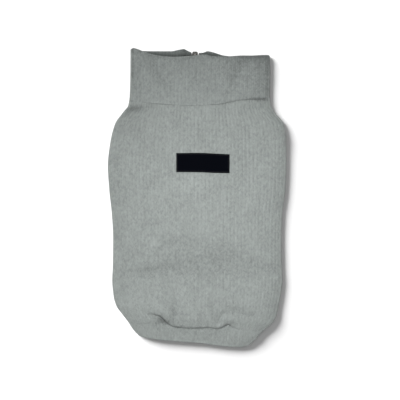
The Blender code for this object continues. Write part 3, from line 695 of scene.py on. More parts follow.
def thread_material(name, colour, sheen=0.2):
    """Twisted sewing thread."""
    look = Shading(name, 0.6)
    strand = look.noise(look.scaled(look.place(), (2500.0, 2500.0, 2500.0)), 1.0, 2.0, 0.5)
    look.set(
        Base_Color=look.mix(strand, *tones(colour, 0.6, 1.3)),
        Normal=look.bump(strand, 0.0001, 0.6),
        Sheen_Weight=sheen,
    )
    return look.material


def metal_material(name, dull, bright):
    """Nickel-plated zinc: satin, with fine brushing and duller, darker patches where it is handled."""
    look = Shading(name, 0.3, metallic=1.0)
    place = look.place()
    brush = look.noise(look.scaled(place, (400.0, 6000.0, 400.0)), 1.0, 2.0, 0.6)
    patch = look.noise(place, 500.0, 3.0, 0.6)
    look.set(
        Base_Color=look.mix(patch, (*dull, 1.0), (*bright, 1.0)),
        Roughness=look.spread(patch, 0.3, 0.7, 0.22, 0.42),
        Normal=look.bump(brush, 0.00003, 0.5),
    )
    return look.material


BODY_GREY = (0.331, 0.359, 0.347)
# the collar's knit is the body's grey made a little darker: painted shade
COLLAR_SHADED_GREY = (0.300, 0.326, 0.316)
# the knit's inside is a darker copy of its grey: painted shade
INSIDE_SHADED_GREY = (0.180, 0.199, 0.192)
BODY_KNIT = knit_material("body_knit", BODY_GREY)
COLLAR_KNIT = knit_material("collar_knit", COLLAR_SHADED_GREY)
INSIDE_SHADED_KNIT = knit_material("inside_knit_shaded", INSIDE_SHADED_GREY)
LABEL_WEAVE = woven_material("label_weave", (0.0016, 0.0021, 0.0042), 1.6, 0.25, 0.7, 0.0, 0.02)
TAPE_WEAVE = woven_material("tape_weave", (0.062, 0.068, 0.064), 1.3, 0.2, 0.85, 0.10)
COIL = thread_material("coil_nylon", (0.040, 0.044, 0.040))
GREY_THREAD = thread_material("grey_thread", (0.24, 0.265, 0.256))
BLACK_THREAD = thread_material("black_thread", (0.012, 0.012, 0.016), 0.03)
METAL = metal_material("zip_nickel", (0.17, 0.168, 0.155), (0.38, 0.375, 0.35))
BRIGHT_METAL = metal_material("zip_nickel_worn", (0.60, 0.595, 0.565), (0.80, 0.79, 0.76))


# ---------------------------------------------------------------- the knit pieces

RIB_RISE = 0.20  # the solid's ribs are taller, because it has no stitches to show them by
RIB_BASE = 0.10
RIB_ROUND = 0.6
RIB_WANDER = (0.22, 24.0, 1.0, 5)  # hills that move a rib to either side: height, cell, along, seed
COLUMNS_PER_RIB = 6
ROW_STEP = 1.6
INNER_EVERY = 3  # the plain inside has every third column and row of the outside
INNER_AT_EDGES = 6  # and so many rows beside each edge
SHADE_END = 1.8  # the painted shade runs on round the sides and fades out at this s


def rib_profile(ribs_across):
    """0 in the valleys between ribs and 1 on their tops: round on top, narrow between."""
    return (0.5 - 0.5 * np.cos(2 * np.pi * ribs_across)) ** RIB_ROUND


def shell_faces(outer, inner, s, inner_s, inner_rows):
    """The faces of a shell from the grids of its two sides, and 1 for each face on the inside."""
    rows_out, columns_out = outer.shape[:2]
    rows_in, columns_in = inner.shape[:2]
    start = rows_out * columns_out
    end = start + rows_in * columns_in
    faces = grid_faces(rows_out, columns_out)
    inside = [0] * len(faces)
    faces += grid_faces(rows_in, columns_in, start, flip=True)
    inside += [1] * (len(faces) - len(inside))
    for row_out, row_in, flip in ((0, 0, False), (rows_out - 1, rows_in - 1, True)):
        first = range(row_out * columns_out, (row_out + 1) * columns_out)
        second = range(start + row_in * columns_in, start + (row_in + 1) * columns_in)
        faces += strip_faces(first, second, s, inner_s, flip)
    for column_out, column_in, flip in ((0, 0, True), (columns_out - 1, columns_in - 1, False)):
        first = range(column_out, start, columns_out)
        second = range(start + column_in, end, columns_in)
        faces += strip_faces(first, second, range(rows_out), inner_rows, flip)
    return faces, inside + [0] * (len(faces) - len(inside))


def knit_uv(ribs_at, grid):
    """Ribs across and rows of stitches along, for a grid of points."""
    pairs = np.broadcast_arrays(ribs_at[None, :], grid[..., 1] * COURSES_PER_MM)
    return np.stack(pairs, axis=-1).reshape(-1, 2)


def knit_shell(name, wrap, ribs, under_mm, rows, material):
    """The closed shell of a wrapped piece: fine ribs outside, plain inside."""
    # ribs are counted along s: over the top, round the sides and underneath
    roll_ribs = np.pi * ROLL / RIB_PITCH
    under_ribs = under_mm / RIB_PITCH
    counts = [-roll_ribs - under_ribs, -roll_ribs, 0, ribs, ribs + roll_ribs, ribs + roll_ribs + under_ribs]
    places = [-3.0, -2.0, -1.0, 1.0, 2.0, 3.0]
    columns = int(round((counts[-1] - counts[0]) * COLUMNS_PER_RIB))
    count = np.linspace(counts[0], counts[-1], columns + 1)
    s = np.interp(count, counts, places)
    v, dy, inset = (np.array(column)[:, None] for column in zip(*rows))

    # underneath, the ribs' tops lie on the floor, so their valleys are pressed in instead
    below = np.clip(np.abs(s) - 1, 0, 1)
    raised = RIB_BASE * (1 - below) + RIB_RISE * (rib_profile(count) - below)
    level = np.clip(1 - inset / (wrap.wall / 2), 0, 1)
    outer = wrap.points(s[None, :], v, dy, inset - raised[None, :] * level)
    on_top = (np.abs(s) < 1)[None, :]
    outer[..., 0] += hills(outer[..., 0], outer[..., 1], *RIB_WANDER) * on_top
    outer[..., 1] -= wrap.overhang(outer[..., 0], outer[..., 1]) * on_top

    inner_s = np.append(s[:-1:INNER_EVERY], s[-1])
    last = len(rows)
    edges = {*range(INNER_AT_EDGES), *range(last - INNER_AT_EDGES, last)}
    kept = sorted(edges | {*range(0, last, INNER_EVERY)})
    inner = wrap.points(inner_s[None, :], v[kept], dy[kept], (wrap.wall - inset)[kept])

    faces, inside = shell_faces(outer, inner, s, inner_s, kept)
    points = np.concatenate([outer.reshape(-1, 3), inner.reshape(-1, 3)])
    uv = np.concatenate([knit_uv(count, outer), knit_uv(np.interp(inner_s, places, counts), inner)])
    piece = mesh_piece(name, points, faces, material, uv, inside)
    # painted shade on the outside, and on the inside where the wrap has it
    outer_shade = wrap.shade(outer[..., 0], outer[..., 1]) * np.clip(SHADE_END - np.abs(s), 0, 1)
    inner_shade = wrap.inner_shade(inner[..., 0], inner[..., 1])
    shade = np.concatenate([outer_shade.ravel(), inner_shade.ravel()]).astype(np.float32)
    piece.data.attributes.new("shade", "FLOAT", "POINT").data.foreach_set("value", shade)
    return piece


def rows_between(length, steps_low, step, steps_high):
    """Rows from a lower edge to an upper one: given steps beside each edge and even ones between."""
    low = np.cumsum([0.0, *steps_low])
    high = length - np.cumsum([0.0, *steps_high])[::-1]
    span = high[0] - low[-1]
    count = max(1, round(span / step))
    middle = low[-1] + span * np.arange(1, count) / count
    return [(d / length, 0.0, 0.0) for d in (*low, *middle, *high)]


FOLD_TURNS = (15, 30, 45, 60, 75, 86)  # degrees round a folded edge


def folded_edge(wall, outward):
    """(rows, shift): rows that round a folded edge off, and how far the plain rows stop short of it."""
    radius = wall / 2
    turns = [math.radians(a) for a in FOLD_TURNS]
    rows = [(outward * radius * (math.sin(a) - 1), radius * (1 - math.cos(a))) for a in turns]
    return rows, -outward * radius


def tuck_end(sign, y):
    """Where the back ends underneath."""
    return np.where(sign > 0, right_edge(y) - TUCK, left_edge(y) + TUCK)


def slit_end(sign, y):
    """Where the collar and the hem band end underneath, beside the zip."""
    return ZIP_X + sign * SLIT_HALF + 0 * y


# The lip of loose cloth over the hem. Its line is the hem seam's, but from here to the left it runs up
# into the back
LIP_LEAVES = -27
lip_curve = curve(
    (-58, -127.0), (-48.5, -128.0), (-41.5, -129.4), (-35.2, -134.4), (-31, -138.5), (-27, -140.9),
)
lip_rise, lip_drop = curves(
    (-58, 0.0, 0.0), (-51, 0.3, 0.5), (-44, 0.9, 1.3), (-36, 1.3, 1.8), (-29, 1.2, 1.5),
    (-20, 0.7, 0.7), (0, 0.6, 0.6), (15, 0.6, 0.6), (24, 0.8, 0.9), (30, 1.2, 1.6), (36, 1.0, 1.5),
    (41, 0.4, 0.5), (50, 0.1, 0.1), (58, 0.0, 0.0), (85, 0.0, 0.0),
)
LIP_ROUND = 1.2  # the lip rises within this distance from its line
LIP_REACH = 8.0  # and sinks into the back again over this one
LIP_DIP = (0.8, 2.4)  # half widths of the dip above the line and below it
LIP_EDGE = (0.7, 1.1)  # where the lip's edge hangs over, and its half width
LIP_OVERHANG = 0.75  # for each millimetre of drop


def lip_line(x):
    return np.where(x < LIP_LEAVES, lip_curve(x), hem_seam(x))


def above_lip(x, y):
    """Distance to the lip's line, positive on the side of the collar."""
    slope = lip_line(x + 0.5) - lip_line(x - 0.5)
    return (y - lip_line(x)) / np.sqrt(1 + slope**2)


def lip_relief(x, y):
    """A full, round lip above the line and a sharp dip under it."""
    away = above_lip(x, y)
    full = lip_rise(x) * (1 - bell(away, LIP_ROUND)) * np.exp(-away / LIP_REACH)
    upper, lower = (-lip_drop(x) * bell(away, width) for width in LIP_DIP)
    return np.where(away > 0, full + upper, lower)


def lip_overhang(x, y):
    """How far the lip's edge rolls over the dip under it."""
    at, width = LIP_EDGE
    return LIP_OVERHANG * lip_drop(x) * bell(above_lip(x, y) - at, width)


# Hills and hollows of cloth that lies loose: height, cell, along, seed
SWELL = (0.30, 34.0, 1.0, 11)
BODY_WAVES = (0.10, 13.0, 1.0, 12)
PLEATS = (0.25, 6.5, 0.3, 13)
PLEATS_REACH = 8.0  # above the hem's seam
COLLAR_FOLDS_SOFT = (0.28, 17.0, 0.45, 21)
COLLAR_WAVES = (0.10, 9.0, 1.0, 22)
HEM_GATHERS = (0.22, 7.0, 0.35, 31)
HEM_WAVES = (0.15, 19.0, 1.0, 32)

# How deep the cloth dips along the collar's seam and along the hem's, by x
seam_dip = curve(
    (-80, 0.1), (-54, 0.1), (-45, 0.2), (-32, 0.3), (20, 0.3), (45, 0.5), (60, 0.9), (82, 1.1),
)
hem_dip = curve(
    (-80, 0), (-56, 0), (-48, 0.25), (-34, 0.3), (-24, 0.1), (24, 0.1), (36, 0.25), (44, 0.05),
    (52, 0), (85, 0),
)
# The hem band rises or sinks to the back's level along its seam
seam_level = curve(
    (-80, 0.5), (-56, 0.5), (-47, 0.15), (-40, 0), (26, 0), (40, -0.3), (50, -0.3), (60, 0),
    (85, 0),
)
DIP_WIDTH = 1.3  # half width of the dip along a seam
LEVEL_WIDTH = 3.0  # the same of the band's rise to the back's level
WELT = (1.6, 1.1)  # the collar's edge swells here above its seam: distance and half width
WELT_RISE = 0.25 / 0.45  # for each millimetre of the seam's dip


def body_relief(x, y):
    """What the solid leaves out of the back's upper side."""
    above_hem = y - hem_seam(x)
    z = lip_relief(x, y) - hem_dip(x) * bell(above_hem, DIP_WIDTH)
    z -= seam_dip(x) * bell(collar_seam(x) - y, DIP_WIDTH) + pressed_by(FINE_FOLDS, x, y)
    z += hills(x, y, *SWELL) + hills(x, y, *BODY_WAVES)
    return z + np.exp(-np.abs(above_hem) / PLEATS_REACH) * hills(x, y, *PLEATS)


# The collar's upper edge lies lower towards its right corner, but not over the slider
collar_droop = curve(
    (-73, 0.6), (-45, 0.4), (-14, 0.0), (12, 0.0), (30, 0.4), (58, 1.2), (80, 1.6),
)
DROOP_REACH = 5.0  # below the upper edge


def collar_relief(x, y):
    """The collar's seam edge, soft upright waves, and its drooping sides."""
    at, width = WELT
    z = WELT_RISE * seam_dip(x) * bell(y - collar_seam(x) - at, width)
    z += hills(x, y, *COLLAR_FOLDS_SOFT) + hills(x, y, *COLLAR_WAVES)
    return z - collar_droop(x) * np.exp(-(collar_top_near(x) - y) / DROOP_REACH)


def hem_relief(x, y):
    """The band gathers on its elastic, and dips under the lip."""
    z = lip_relief(x, np.minimum(y, lip_line(x)))
    z += seam_level(x) * bell(hem_seam(x) - y, LEVEL_WIDTH)
    return z + hills(x, y, *HEM_GATHERS) + hills(x, y, *HEM_WAVES)


# Painted shade and painted light along edges and seams: the share, and the half width of the strip that has
# it
RIM_SHADE = (0.11, 8.0)  # painted shade on the right rim
EDGE_PAINTED_LIGHT = (0.45, 1.2)  # painted light at the outermost edge
TOP_SHADE = (0.10, 4.5)  # painted shade below the collar's upper edge
HEM_EDGE_PAINTED_LIGHT = (0.07, 2.4)  # painted light on the band's lower edge
COLLAR_SEAM_WIDTH = 1.0
HEM_SEAM_ON_BACK = 0.8  # the back has this part of the band's painted shade at their seam
HEM_SEAM_WIDTHS = (2.2, 2.9)  # on the back and on the band
SIDE_FOLD = (5.9, 0.5)  # width and blur of the painted shade on the strip that lies folded along the collar's right side
SIDE_LINE = (2.4, 0.75)  # the painted shade of a fold line along the collar's left side: how far in, and its half width
PAINTED_HIGHLIGHT_LINE = (0.9, 0.6)  # the same for the painted highlight on the collar's edge above its seam
# how much painted shade the collar's side strips have, by y
side_fold_shade = curve((104, 0.12), (122, 0.15), (138, 0.18), (160, 0.16))
side_line_shade = curve((108, 0.0), (124, 0.18), (136, 0.50), (166, 0.50))
# painted shade along the collar's seam and along the hem's, by x
collar_seam_shade = curve((-50, 0), (-36, 0.10), (18, 0.10), (40, 0))
hem_seam_shade = curve((-40, 0), (-30, 0.10), (-22, 0.15), (24, 0.15), (32, 0.08), (40, 0))
# the painted highlight's share above the collar's seam, by x
seam_painted_highlight = curve(
    (-76, 0), (-55, 0.0), (-48, 0.13), (-32, 0.12), (-26, 0.03), (-19, 0.10), (4, 0.12), (22, 0.0),
    (82, 0),
)
MOUTH_PAINTED_SHADE = ((-13.4, 160.6, 2.1, 3.4, 0.44),)  # a soft patch of painted shade


def body_shade(x, y):
    """Painted shade on the right rim and at both seams, and painted light at the outermost edge."""
    rim = right_edge(y) - x
    shade = shade_at(BODY_PAINTED_SHADES, BODY_FOLDS, x, y) + stripe(rim, *RIM_SHADE) - stripe(rim, *EDGE_PAINTED_LIGHT)
    shade += stripe(collar_seam(x) - y, collar_seam_shade(x), COLLAR_SEAM_WIDTH)
    return shade + stripe(y - hem_seam(x), HEM_SEAM_ON_BACK * hem_seam_shade(x), HEM_SEAM_WIDTHS[0])


def collar_shade(x, y):
    """Painted shade below its upper edge and along both sides, and a painted highlight above its seam."""
    fold, blur = SIDE_FOLD
    line, line_width = SIDE_LINE
    above, pale_width = PAINTED_HIGHLIGHT_LINE
    shade = shade_at(COLLAR_PAINTED_SHADES, COLLAR_FOLDS, x, y) + stripe(collar_top_near(x) - y, *TOP_SHADE)
    shade += side_fold_shade(y) * up_to(fold, right_edge(y) - x, blur)
    shade += stripe(x - left_edge(y) - line, side_line_shade(y), line_width)
    return shade - stripe(y - collar_seam(x) - above, seam_painted_highlight(x), pale_width)


def mouth_shade(x, y):
    """Painted shade in the hollow of the far layer's fold beside the slider."""
    return patches_at(MOUTH_PAINTED_SHADE, x, y)


def hem_shade(x, y):
    """Painted light along its lower edge, painted shade at its seam."""
    shade = shade_at(BODY_PAINTED_SHADES, BODY_FOLDS, x, y) - stripe(y - hem_bottom(x), *HEM_EDGE_PAINTED_LIGHT)
    return shade + stripe(hem_seam(x) - y, hem_seam_shade(x), HEM_SEAM_WIDTHS[1])


SEAM_LAP = 0.9  # how far a piece runs on under its neighbour, inside the seam
# The collar's lower edge turns in at the seam: how far it moves and its depth, as a share of the wall
TURNED_IN = ((-0.40, 0.44), (-0.38, 0.28), (-0.25, 0.14), (0.0, 0.05), (0.35, 0.006))
# The pieces' lengths along Y, which their rows are spaced by, and how far two of them run on underneath
BACK_LENGTH = 245.0
COLLAR_LENGTH = 53.0
HEM_LENGTH = 17.0
COLLAR_UNDER = 70.0
HEM_UNDER = 60.0


def back_wrap():
    return Wrap(
        KNIT,
        CHEST_HALF,
        BODY_STACK,
        lambda x: hem_seam(x) + SEAM_GAP / 2,
        lambda x: collar_seam(x) - SEAM_GAP / 2,
        tuck_end,
        BODY_FOLDS,
        body_relief,
        body_shade,
        sag=BODY_SAG,
        lower_under=lambda x: hem_seam_under(x) + SEAM_GAP / 2,
        overhang=lip_overhang,
    )


def make_back(wrap):
    fine = [0.3, 0.4, 0.5, 0.5, 0.6, 0.6] + [0.75] * 16 + [0.9, 1.1, 1.3]
    rows = rows_between(BACK_LENGTH, fine, ROW_STEP, [0.5, 0.6, 0.8, 1.0, 1.3])
    rows.append((1.0, SEAM_LAP, 0.0))
    return knit_shell("back_cloth", wrap, BODY_RIBS, TUCK - ROLL, rows, BODY_KNIT)


def make_collar():
    edge, shift = folded_edge(COLLAR_WALL, 1)
    wrap = Wrap(
        COLLAR_WALL,
        COLLAR_HALF,
        COLLAR_STACK,
        lambda x: collar_seam(x) + SEAM_GAP / 2,
        collar_top_near,
        slit_end,
        COLLAR_FOLDS,
        collar_relief,
        collar_shade,
        upper_under=collar_top_far,
        inner_shade=mouth_shade,
    )
    turned_in = [(0.0, dy, share * COLLAR_WALL) for dy, share in TURNED_IN]
    plain = rows_between(COLLAR_LENGTH, [0.8, 0.6], ROW_STEP * 0.6, [2.4, 0.8])[1:-1]
    rows = turned_in + plain + [(1.0, shift, 0.0)] + [(1.0, dy, inset) for dy, inset in edge]
    return knit_shell("collar_cloth", wrap, COLLAR_RIBS, COLLAR_UNDER, rows, COLLAR_KNIT)


def make_hem():
    edge, shift = folded_edge(HEM_WALL, -1)
    wrap = Wrap(
        HEM_WALL,
        CHEST_HALF,
        HEM_STACK,
        hem_bottom,
        lambda x: hem_seam(x) - SEAM_GAP / 2,
        slit_end,
        BODY_FOLDS,
        hem_relief,
        hem_shade,
        upper_under=lambda x: hem_seam_under(x) - SEAM_GAP / 2,
    )
    plain = rows_between(HEM_LENGTH, [], ROW_STEP * 0.5, [0.4, 0.5, 0.6])
    rows = [(0.0, dy, inset) for dy, inset in reversed(edge)] + [(0.0, shift, 0.0)]
    rows += [row for row in plain if row[0] > 0.1]  # the first ones are on the folded edge
    rows += [(1.0, SEAM_GAP, 0.06), (1.0, SEAM_LAP, 0.35)]
    return knit_shell("hem_cloth", wrap, BODY_RIBS, HEM_UNDER, rows, BODY_KNIT)


# ---------------------------------------------------------------- the belly's panels and their leg openings

OVAL_POWER = 2 / 0.85  # a little fuller than an ellipse
LEG_HEM = 7.0  # width of the folded hem round an opening
LEG_HEM_RISE = 0.9
LEG_HEM_BLUR = 0.6
EDGE_RADIUS = 0.9


def oval_reach(x, y):
    """1 on the leg opening's edge, less inside and more outside, from its middle."""
    parts = (np.abs(x) / (LEG_SIZE[0] / 2)) ** OVAL_POWER + (np.abs(y) / (LEG_SIZE[1] / 2)) ** OVAL_POWER
    return parts ** (1 / OVAL_POWER)


def oval_half_width(y):
    inside = np.clip(1 - (np.abs(y) / (LEG_SIZE[1] / 2)) ** OVAL_POWER, 0, None)
    return LEG_SIZE[0] / 2 * inside ** (1 / OVAL_POWER)


STITCH_IN = 2.4  # from the slit's edge to the zip's stitching
LEG_STITCHES = (1.2, 3.0)  # from a leg opening's hem inwards to its two rows of stitching
GROOVE = (0.42, 0.65)  # depth and half width of the line that stitching pulls into the cloth
INNER_GROOVE = 0.3  # its depth on the inside, as a share of that
TUCK_GAP = 0.05  # the panels stop short of the back's ends
SEAM_REACH = 0.1  # the panels run on a little at the seams
PANEL_ENDS = (-139.0, 103.0)  # a panel's first and last rows, before they take the seams' slant
SLANT_FROM = (-110.0, 88.0)  # the rows take it from here on
NEAR_HOLE = 10.0  # the fine rows round an opening end this far from it
HOLE_ROWS = (0.15, 0.45, 0.9, 1.5, 2.3, 3.3, 4.5, 5.2, 5.8, 6.5, 7.3, 8.4)  # past its ends
HOLE_COLUMNS = (0, 0.12, 0.35, 0.7, 1.2, 1.9, 2.8, 3.8, 4.7, 5.3, 5.9, 6.6, 7.4, 8.4)  # beside it
HOLE_SPARE = 6.0  # where a side is narrow, the fine columns leave room for this much more
HOLE_STEPS = 44
WELD = 1e-7  # metres


def groove(away):
    depth, width = GROOVE
    return depth * bell(away, width)


def belly_levels():
    """Heights along Y for the panel's rows, close together round the ends of the leg opening."""
    top = LEG_CENTRE[1] + LEG_SIZE[1] / 2
    bottom = LEG_CENTRE[1] - LEG_SIZE[1] / 2
    steps = np.array(HOLE_ROWS)
    turn = np.pi * np.arange(1, HOLE_STEPS) / HOLE_STEPS
    across = LEG_CENTRE[1] - LEG_SIZE[1] / 2 * np.cos(turn)
    lower = np.linspace(PANEL_ENDS[0], bottom - NEAR_HOLE, 80)
    upper = np.linspace(top + NEAR_HOLE, PANEL_ENDS[1], 10)
    return np.concatenate([lower, bottom - steps[::-1], [bottom], across, [top], top + steps, upper])


def belly_halves(sign):
    """The flat points and faces of the panel's two sides, from the leg opening to its two long edges."""
    centre_x = ZIP_X + sign * LEG_CENTRE[0]
    levels = belly_levels()[:, None]
    half = oval_half_width(levels - LEG_CENTRE[1])
    slit_x = ZIP_X + sign * SLIT_HALF + 0 * half
    tuck_x = tuck_end(sign, levels) - sign * TUCK_GAP
    near = np.array(HOLE_COLUMNS)
    steps = np.linspace(0, 1, HOLE_STEPS)[1:]
    parts = []
    for side, end in ((-sign, slit_x), (sign, tuck_x)):
        start = centre_x + side * half
        span = np.abs(end - start)
        close = np.minimum(near, span * near / (near[-1] + HOLE_SPARE))
        far = close[:, -1:] + (span - close[:, -1:]) * steps
        x = start + np.sign(end - start) * np.concatenate([close, far], axis=1)
        y = np.broadcast_to(levels, x.shape)
        low = hem_seam_under(x) + SEAM_GAP / 2 - SEAM_REACH
        high = collar_seam(x) - SEAM_GAP / 2 + SEAM_REACH
        for seam, panel_end, slant_from in zip((low, high), PANEL_ENDS, SLANT_FROM):
            share = np.clip((levels - slant_from) / (panel_end - slant_from), 0, 1)
            y = y + (seam - panel_end) * share
        points = np.stack([x.ravel(), y.ravel()], axis=1)
        parts.append((points, grid_faces(*x.shape, flip=side > 0)))
    return joined(parts)


def welded(points, faces):
    """A flat sheet's points without doubles, its faces, and the edges of its rim in their faces' order."""
    sheet = bmesh.new()
    verts = [sheet.verts.new((x * MM, y * MM, 0)) for x, y in points]
    for face in faces:
        sheet.faces.new([verts[k] for k in face])
    bmesh.ops.remove_doubles(sheet, verts=sheet.verts, dist=WELD)
    sheet.verts.index_update()
    flat = np.array([(v.co.x, v.co.y) for v in sheet.verts]) / MM
    quads = [tuple(v.index for v in face.verts) for face in sheet.faces]
    rim = []
    for edge in sheet.edges:
        if len(edge.link_faces) == 1:
            corners = [v.index for v in edge.link_faces[0].verts]
            a, b = (v.index for v in edge.verts)
            forward = corners[(corners.index(a) + 1) % len(corners)] == b
            rim.append((a, b) if forward else (b, a))
    sheet.free()
    return flat, quads, rim


def make_belly(name, sign):
    """A flat panel with ribs and stitching outside, and a thicker hem round its leg opening."""
    flat, quads, rim = welded(*belly_halves(sign))
    x, y = flat[:, 0], flat[:, 1]
    from_centre = (x - ZIP_X - sign * LEG_CENTRE[0], y - LEG_CENTRE[1])
    from_hole = np.hypot(*from_centre) * (1 - 1 / np.maximum(oval_reach(*from_centre), 1e-6))
    from_slit = np.abs(x - ZIP_X - sign * SLIT_HALF)
    round_off = np.clip(1 - np.minimum(from_hole, from_slit) / EDGE_RADIUS, 0, 1)
    round_off = EDGE_RADIUS * (1 - np.sqrt(1 - round_off**2))
    ribs = (x - ZIP_X) / RIB_PITCH
    zip_groove = groove(from_slit - STITCH_IN)
    stitched = zip_groove + sum(groove(from_hole - LEG_HEM + inwards) for inwards in LEG_STITCHES)
    lower = np.maximum(RIB_RISE * (1 - rib_profile(ribs)), stitched) + round_off
    upper = KNIT + LEG_HEM_RISE * up_to(LEG_HEM, from_hole, LEG_HEM_BLUR)
    upper -= round_off + INNER_GROOVE * zip_groove
    count = len(flat)
    points = np.concatenate([np.column_stack([flat, lower]), np.column_stack([flat, upper])])
    faces = quads + [tuple(k + count for k in reversed(face)) for face in quads]
    faces += [(b, a, a + count, b + count) for a, b in rim]
    inside = [0] * len(quads) + [1] * len(quads) + [0] * len(rim)
    uv = np.column_stack([np.tile(ribs, 2), np.tile(y, 2) * COURSES_PER_MM])
    return mesh_piece(name, points, faces, BODY_KNIT, uv, inside)


# ---------------------------------------------------------------- stitching

THREAD = 0.16
THREAD_Z = 0.26  # height of the stitches' middle underneath
# A stitch's own line: places along it, with its rise as a share of how deep its ends sink in
STITCH = ((0.0, -1.0), (0.12, -0.1), (0.5, 0.25), (0.88, -0.1), (1.0, -1.0))
LONG_STITCH = (2.6, 0.7, 0.28)  # length, gap and how deep its ends sink in
LABEL_STITCH = (1.7, 0.5, 0.2)
ZIP_STITCHING = (-150.0, 156.0)  # its two ends


def stitch_run(path, up, length, gap, sink):
    """(points, faces) of a run of stitches along a path: each dips into the cloth at both ends."""
    path = np.asarray(path, float)
    travelled = np.concatenate([[0], np.cumsum(np.linalg.norm(np.diff(path, axis=0), axis=1))])
    count = max(1, int(travelled[-1] / (length + gap)))
    pitch = travelled[-1] / count
    share = length / (length + gap)
    places, rises = np.array(STITCH).T
    parts = []
    for i in range(count):
        at = (i + share * places) * pitch
        points = np.stack([np.interp(at, travelled, path[:, k]) for k in range(3)], axis=1)
        points[:, 2] += up * rises * sink
        parts.append(tube(points, THREAD))
    return joined(parts)


def oval_path(centre, out, z):
    """A closed path round a leg opening, a given distance outside its edge."""
    turns = np.linspace(0, 2 * np.pi, 161)
    x = np.cos(turns)
    y = np.sin(turns)
    radius = 1 / oval_reach(x, y) + out
    return np.column_stack([centre[0] + radius * x, centre[1] + radius * y, np.full(len(turns), z)])


def underside_stitches():
    """Two rows round each leg opening, and one on each side of the zip."""
    paths = []
    for sign in (-1, 1):
        centre = (ZIP_X + sign * LEG_CENTRE[0], LEG_CENTRE[1])
        paths += [oval_path(centre, LEG_HEM - inwards, THREAD_Z) for inwards in LEG_STITCHES]
        x = ZIP_X + sign * (SLIT_HALF + STITCH_IN)
        y = np.linspace(*ZIP_STITCHING, 120)
        paths.append(np.column_stack([x + 0 * y, y, THREAD_Z + 0 * y]))
    return joined([stitch_run(path, -1, *LONG_STITCH) for path in paths])


# ---------------------------------------------------------------- the label

LABEL_ENDS = (-22.4, 36.0)
label_bottom, label_top = curves(
    (-22.4, 27.9, 48.6), (3.0, 27.7, 48.8), (20.0, 26.9, 48.1), (36.0, 26.7, 47.3),
)
LABEL_FOLD = (4.0, 0.22)  # each end is turned under: how much of it, and how far it lifts the label
LABEL_SINK = 0.15  # it is sewn down into the ribs
STITCH_MARGIN = 1.3
LABEL_SEWN = (0.14, 0.5)  # depth and half width of the line along its stitching
LABEL_THREAD_RISE = 0.10
LABEL_ROUND = (0.30, 0.35)  # how far its edges fall, and over which distance
LABEL_BOW = (0.10, 9.0, 1.0, 41)  # hills: height, cell, along, seed


def label_base(wrap, x, y):
    """The label's height without its own relief: it lies on the tops of the ribs."""
    base = wrap.height(x, y, plain=True) + hills(x, y, *SWELL)
    return base + RIB_BASE + RIB_RISE + LABEL_THICK - LABEL_SINK


def label_height(wrap, x, y):
    left, right = LABEL_ENDS
    from_end = np.minimum(x - left, right - x)
    from_side = np.minimum(y - label_bottom(x), label_top(x) - y)
    from_edge = np.minimum(from_end, from_side)
    turned, lift = LABEL_FOLD
    fall, fall_over = LABEL_ROUND
    relief = lift * up_to(turned, from_end, 0.5) - stripe(from_edge - STITCH_MARGIN, *LABEL_SEWN)
    relief -= fall * np.exp(-from_edge / fall_over)
    return label_base(wrap, x, y) + relief + hills(x, y, *LABEL_BOW)


def fine_ends(near, first, count):
    """Places from 0 to 1, close together at both ends."""
    return np.concatenate([near, np.linspace(first, 1 - first, count), 1 - np.array(near[::-1])])


def make_label(wrap):
    """A folded strip of satin weave. It is left bare."""
    u = fine_ends([0, 0.003, 0.008, 0.016, 0.03], 0.05, 61)
    w = fine_ends([0, 0.01, 0.025, 0.05], 0.08, 25)[:, None]
    x = np.broadcast_to(between(*LABEL_ENDS, u[None, :]), (len(w), len(u)))
    y = between(label_bottom(x), label_top(x), w)
    top = np.stack([x, y, label_height(wrap, x, y)], axis=-1)
    low = np.stack([x, y, label_base(wrap, x, y) - LABEL_THICK], axis=-1)
    return mesh_piece("label_cloth", *thick_sheet(top, low), LABEL_WEAVE)


def label_stitches(wrap):
    left, right = LABEL_ENDS[0] + STITCH_MARGIN, LABEL_ENDS[1] - STITCH_MARGIN
    x = np.linspace(left, right, 60)
    sides = [(x, label_bottom(x) + STITCH_MARGIN), (x, label_top(x) - STITCH_MARGIN)]
    for end in (left, right):
        y = np.linspace(label_bottom(end) + STITCH_MARGIN, label_top(end) - STITCH_MARGIN, 30)
        sides.append((end + 0 * y, y))
    paths = [np.column_stack([x, y, label_height(wrap, x, y) + LABEL_THREAD_RISE]) for x, y in sides]
    runs = joined([stitch_run(path, 1, *LABEL_STITCH) for path in paths])
    return mesh_piece("label_thread", *runs, BLACK_THREAD)


# ---------------------------------------------------------------- the zip

COIL_PITCH = 1.25
COIL_AT = 1.35  # from the zip's middle line to a coil's own middle
COIL_HALF = (1.5, 0.62)  # half width and half height of a turn
COIL_GAP = 0.30  # between the coil and its tape
COIL_WIRE = 0.27
COIL_BOTTOM_Y = -149.6
COIL_TOP_Y = 151.6
# Places across a tape, from its corded edge
TAPE_COLUMNS = (0, 0.25, 0.6, 1.0, 1.5, 2.0, 2.4, 2.8, 3.4, 4.2, 5.5, 7.0, 8.6, 10.0, 11.0, 11.4, 11.7, 11.8)
TAPE_CORD = (1.0, 0.7, 0.25)  # place, half width and height of the cord
TAPE_SEAM = (2.4, 0.3, -0.10)  # the same of the stitched line that holds the coil
TAPE_EDGE = 0.25  # how much thinner the tape is at its edges, and over which distance
TAPE_WAVE = (0.12, 11.0, 1.0, 51)  # hills: height, cell, along, seed
TAPE_CALM = 3.0  # the hills are full this far from the cord


def coil(sign):
    """One side's coil, under its tape: flat turns that reach past the middle line between the other's."""
    turns = (COIL_TOP_Y - COIL_BOTTOM_Y) / COIL_PITCH
    steps = 9
    t = np.arange(int(turns * steps) + 1) / steps
    angle = 2 * np.pi * t + (0 if sign > 0 else np.pi)
    y = COIL_BOTTOM_Y + COIL_PITCH * t
    x = ZIP_X + sign * COIL_AT + COIL_HALF[0] * np.cos(angle)
    z = tape_height(y) - COIL_GAP + COIL_HALF[1] * (np.sin(angle) - 1)
    return tube(np.column_stack([x, y, z]), COIL_WIRE)


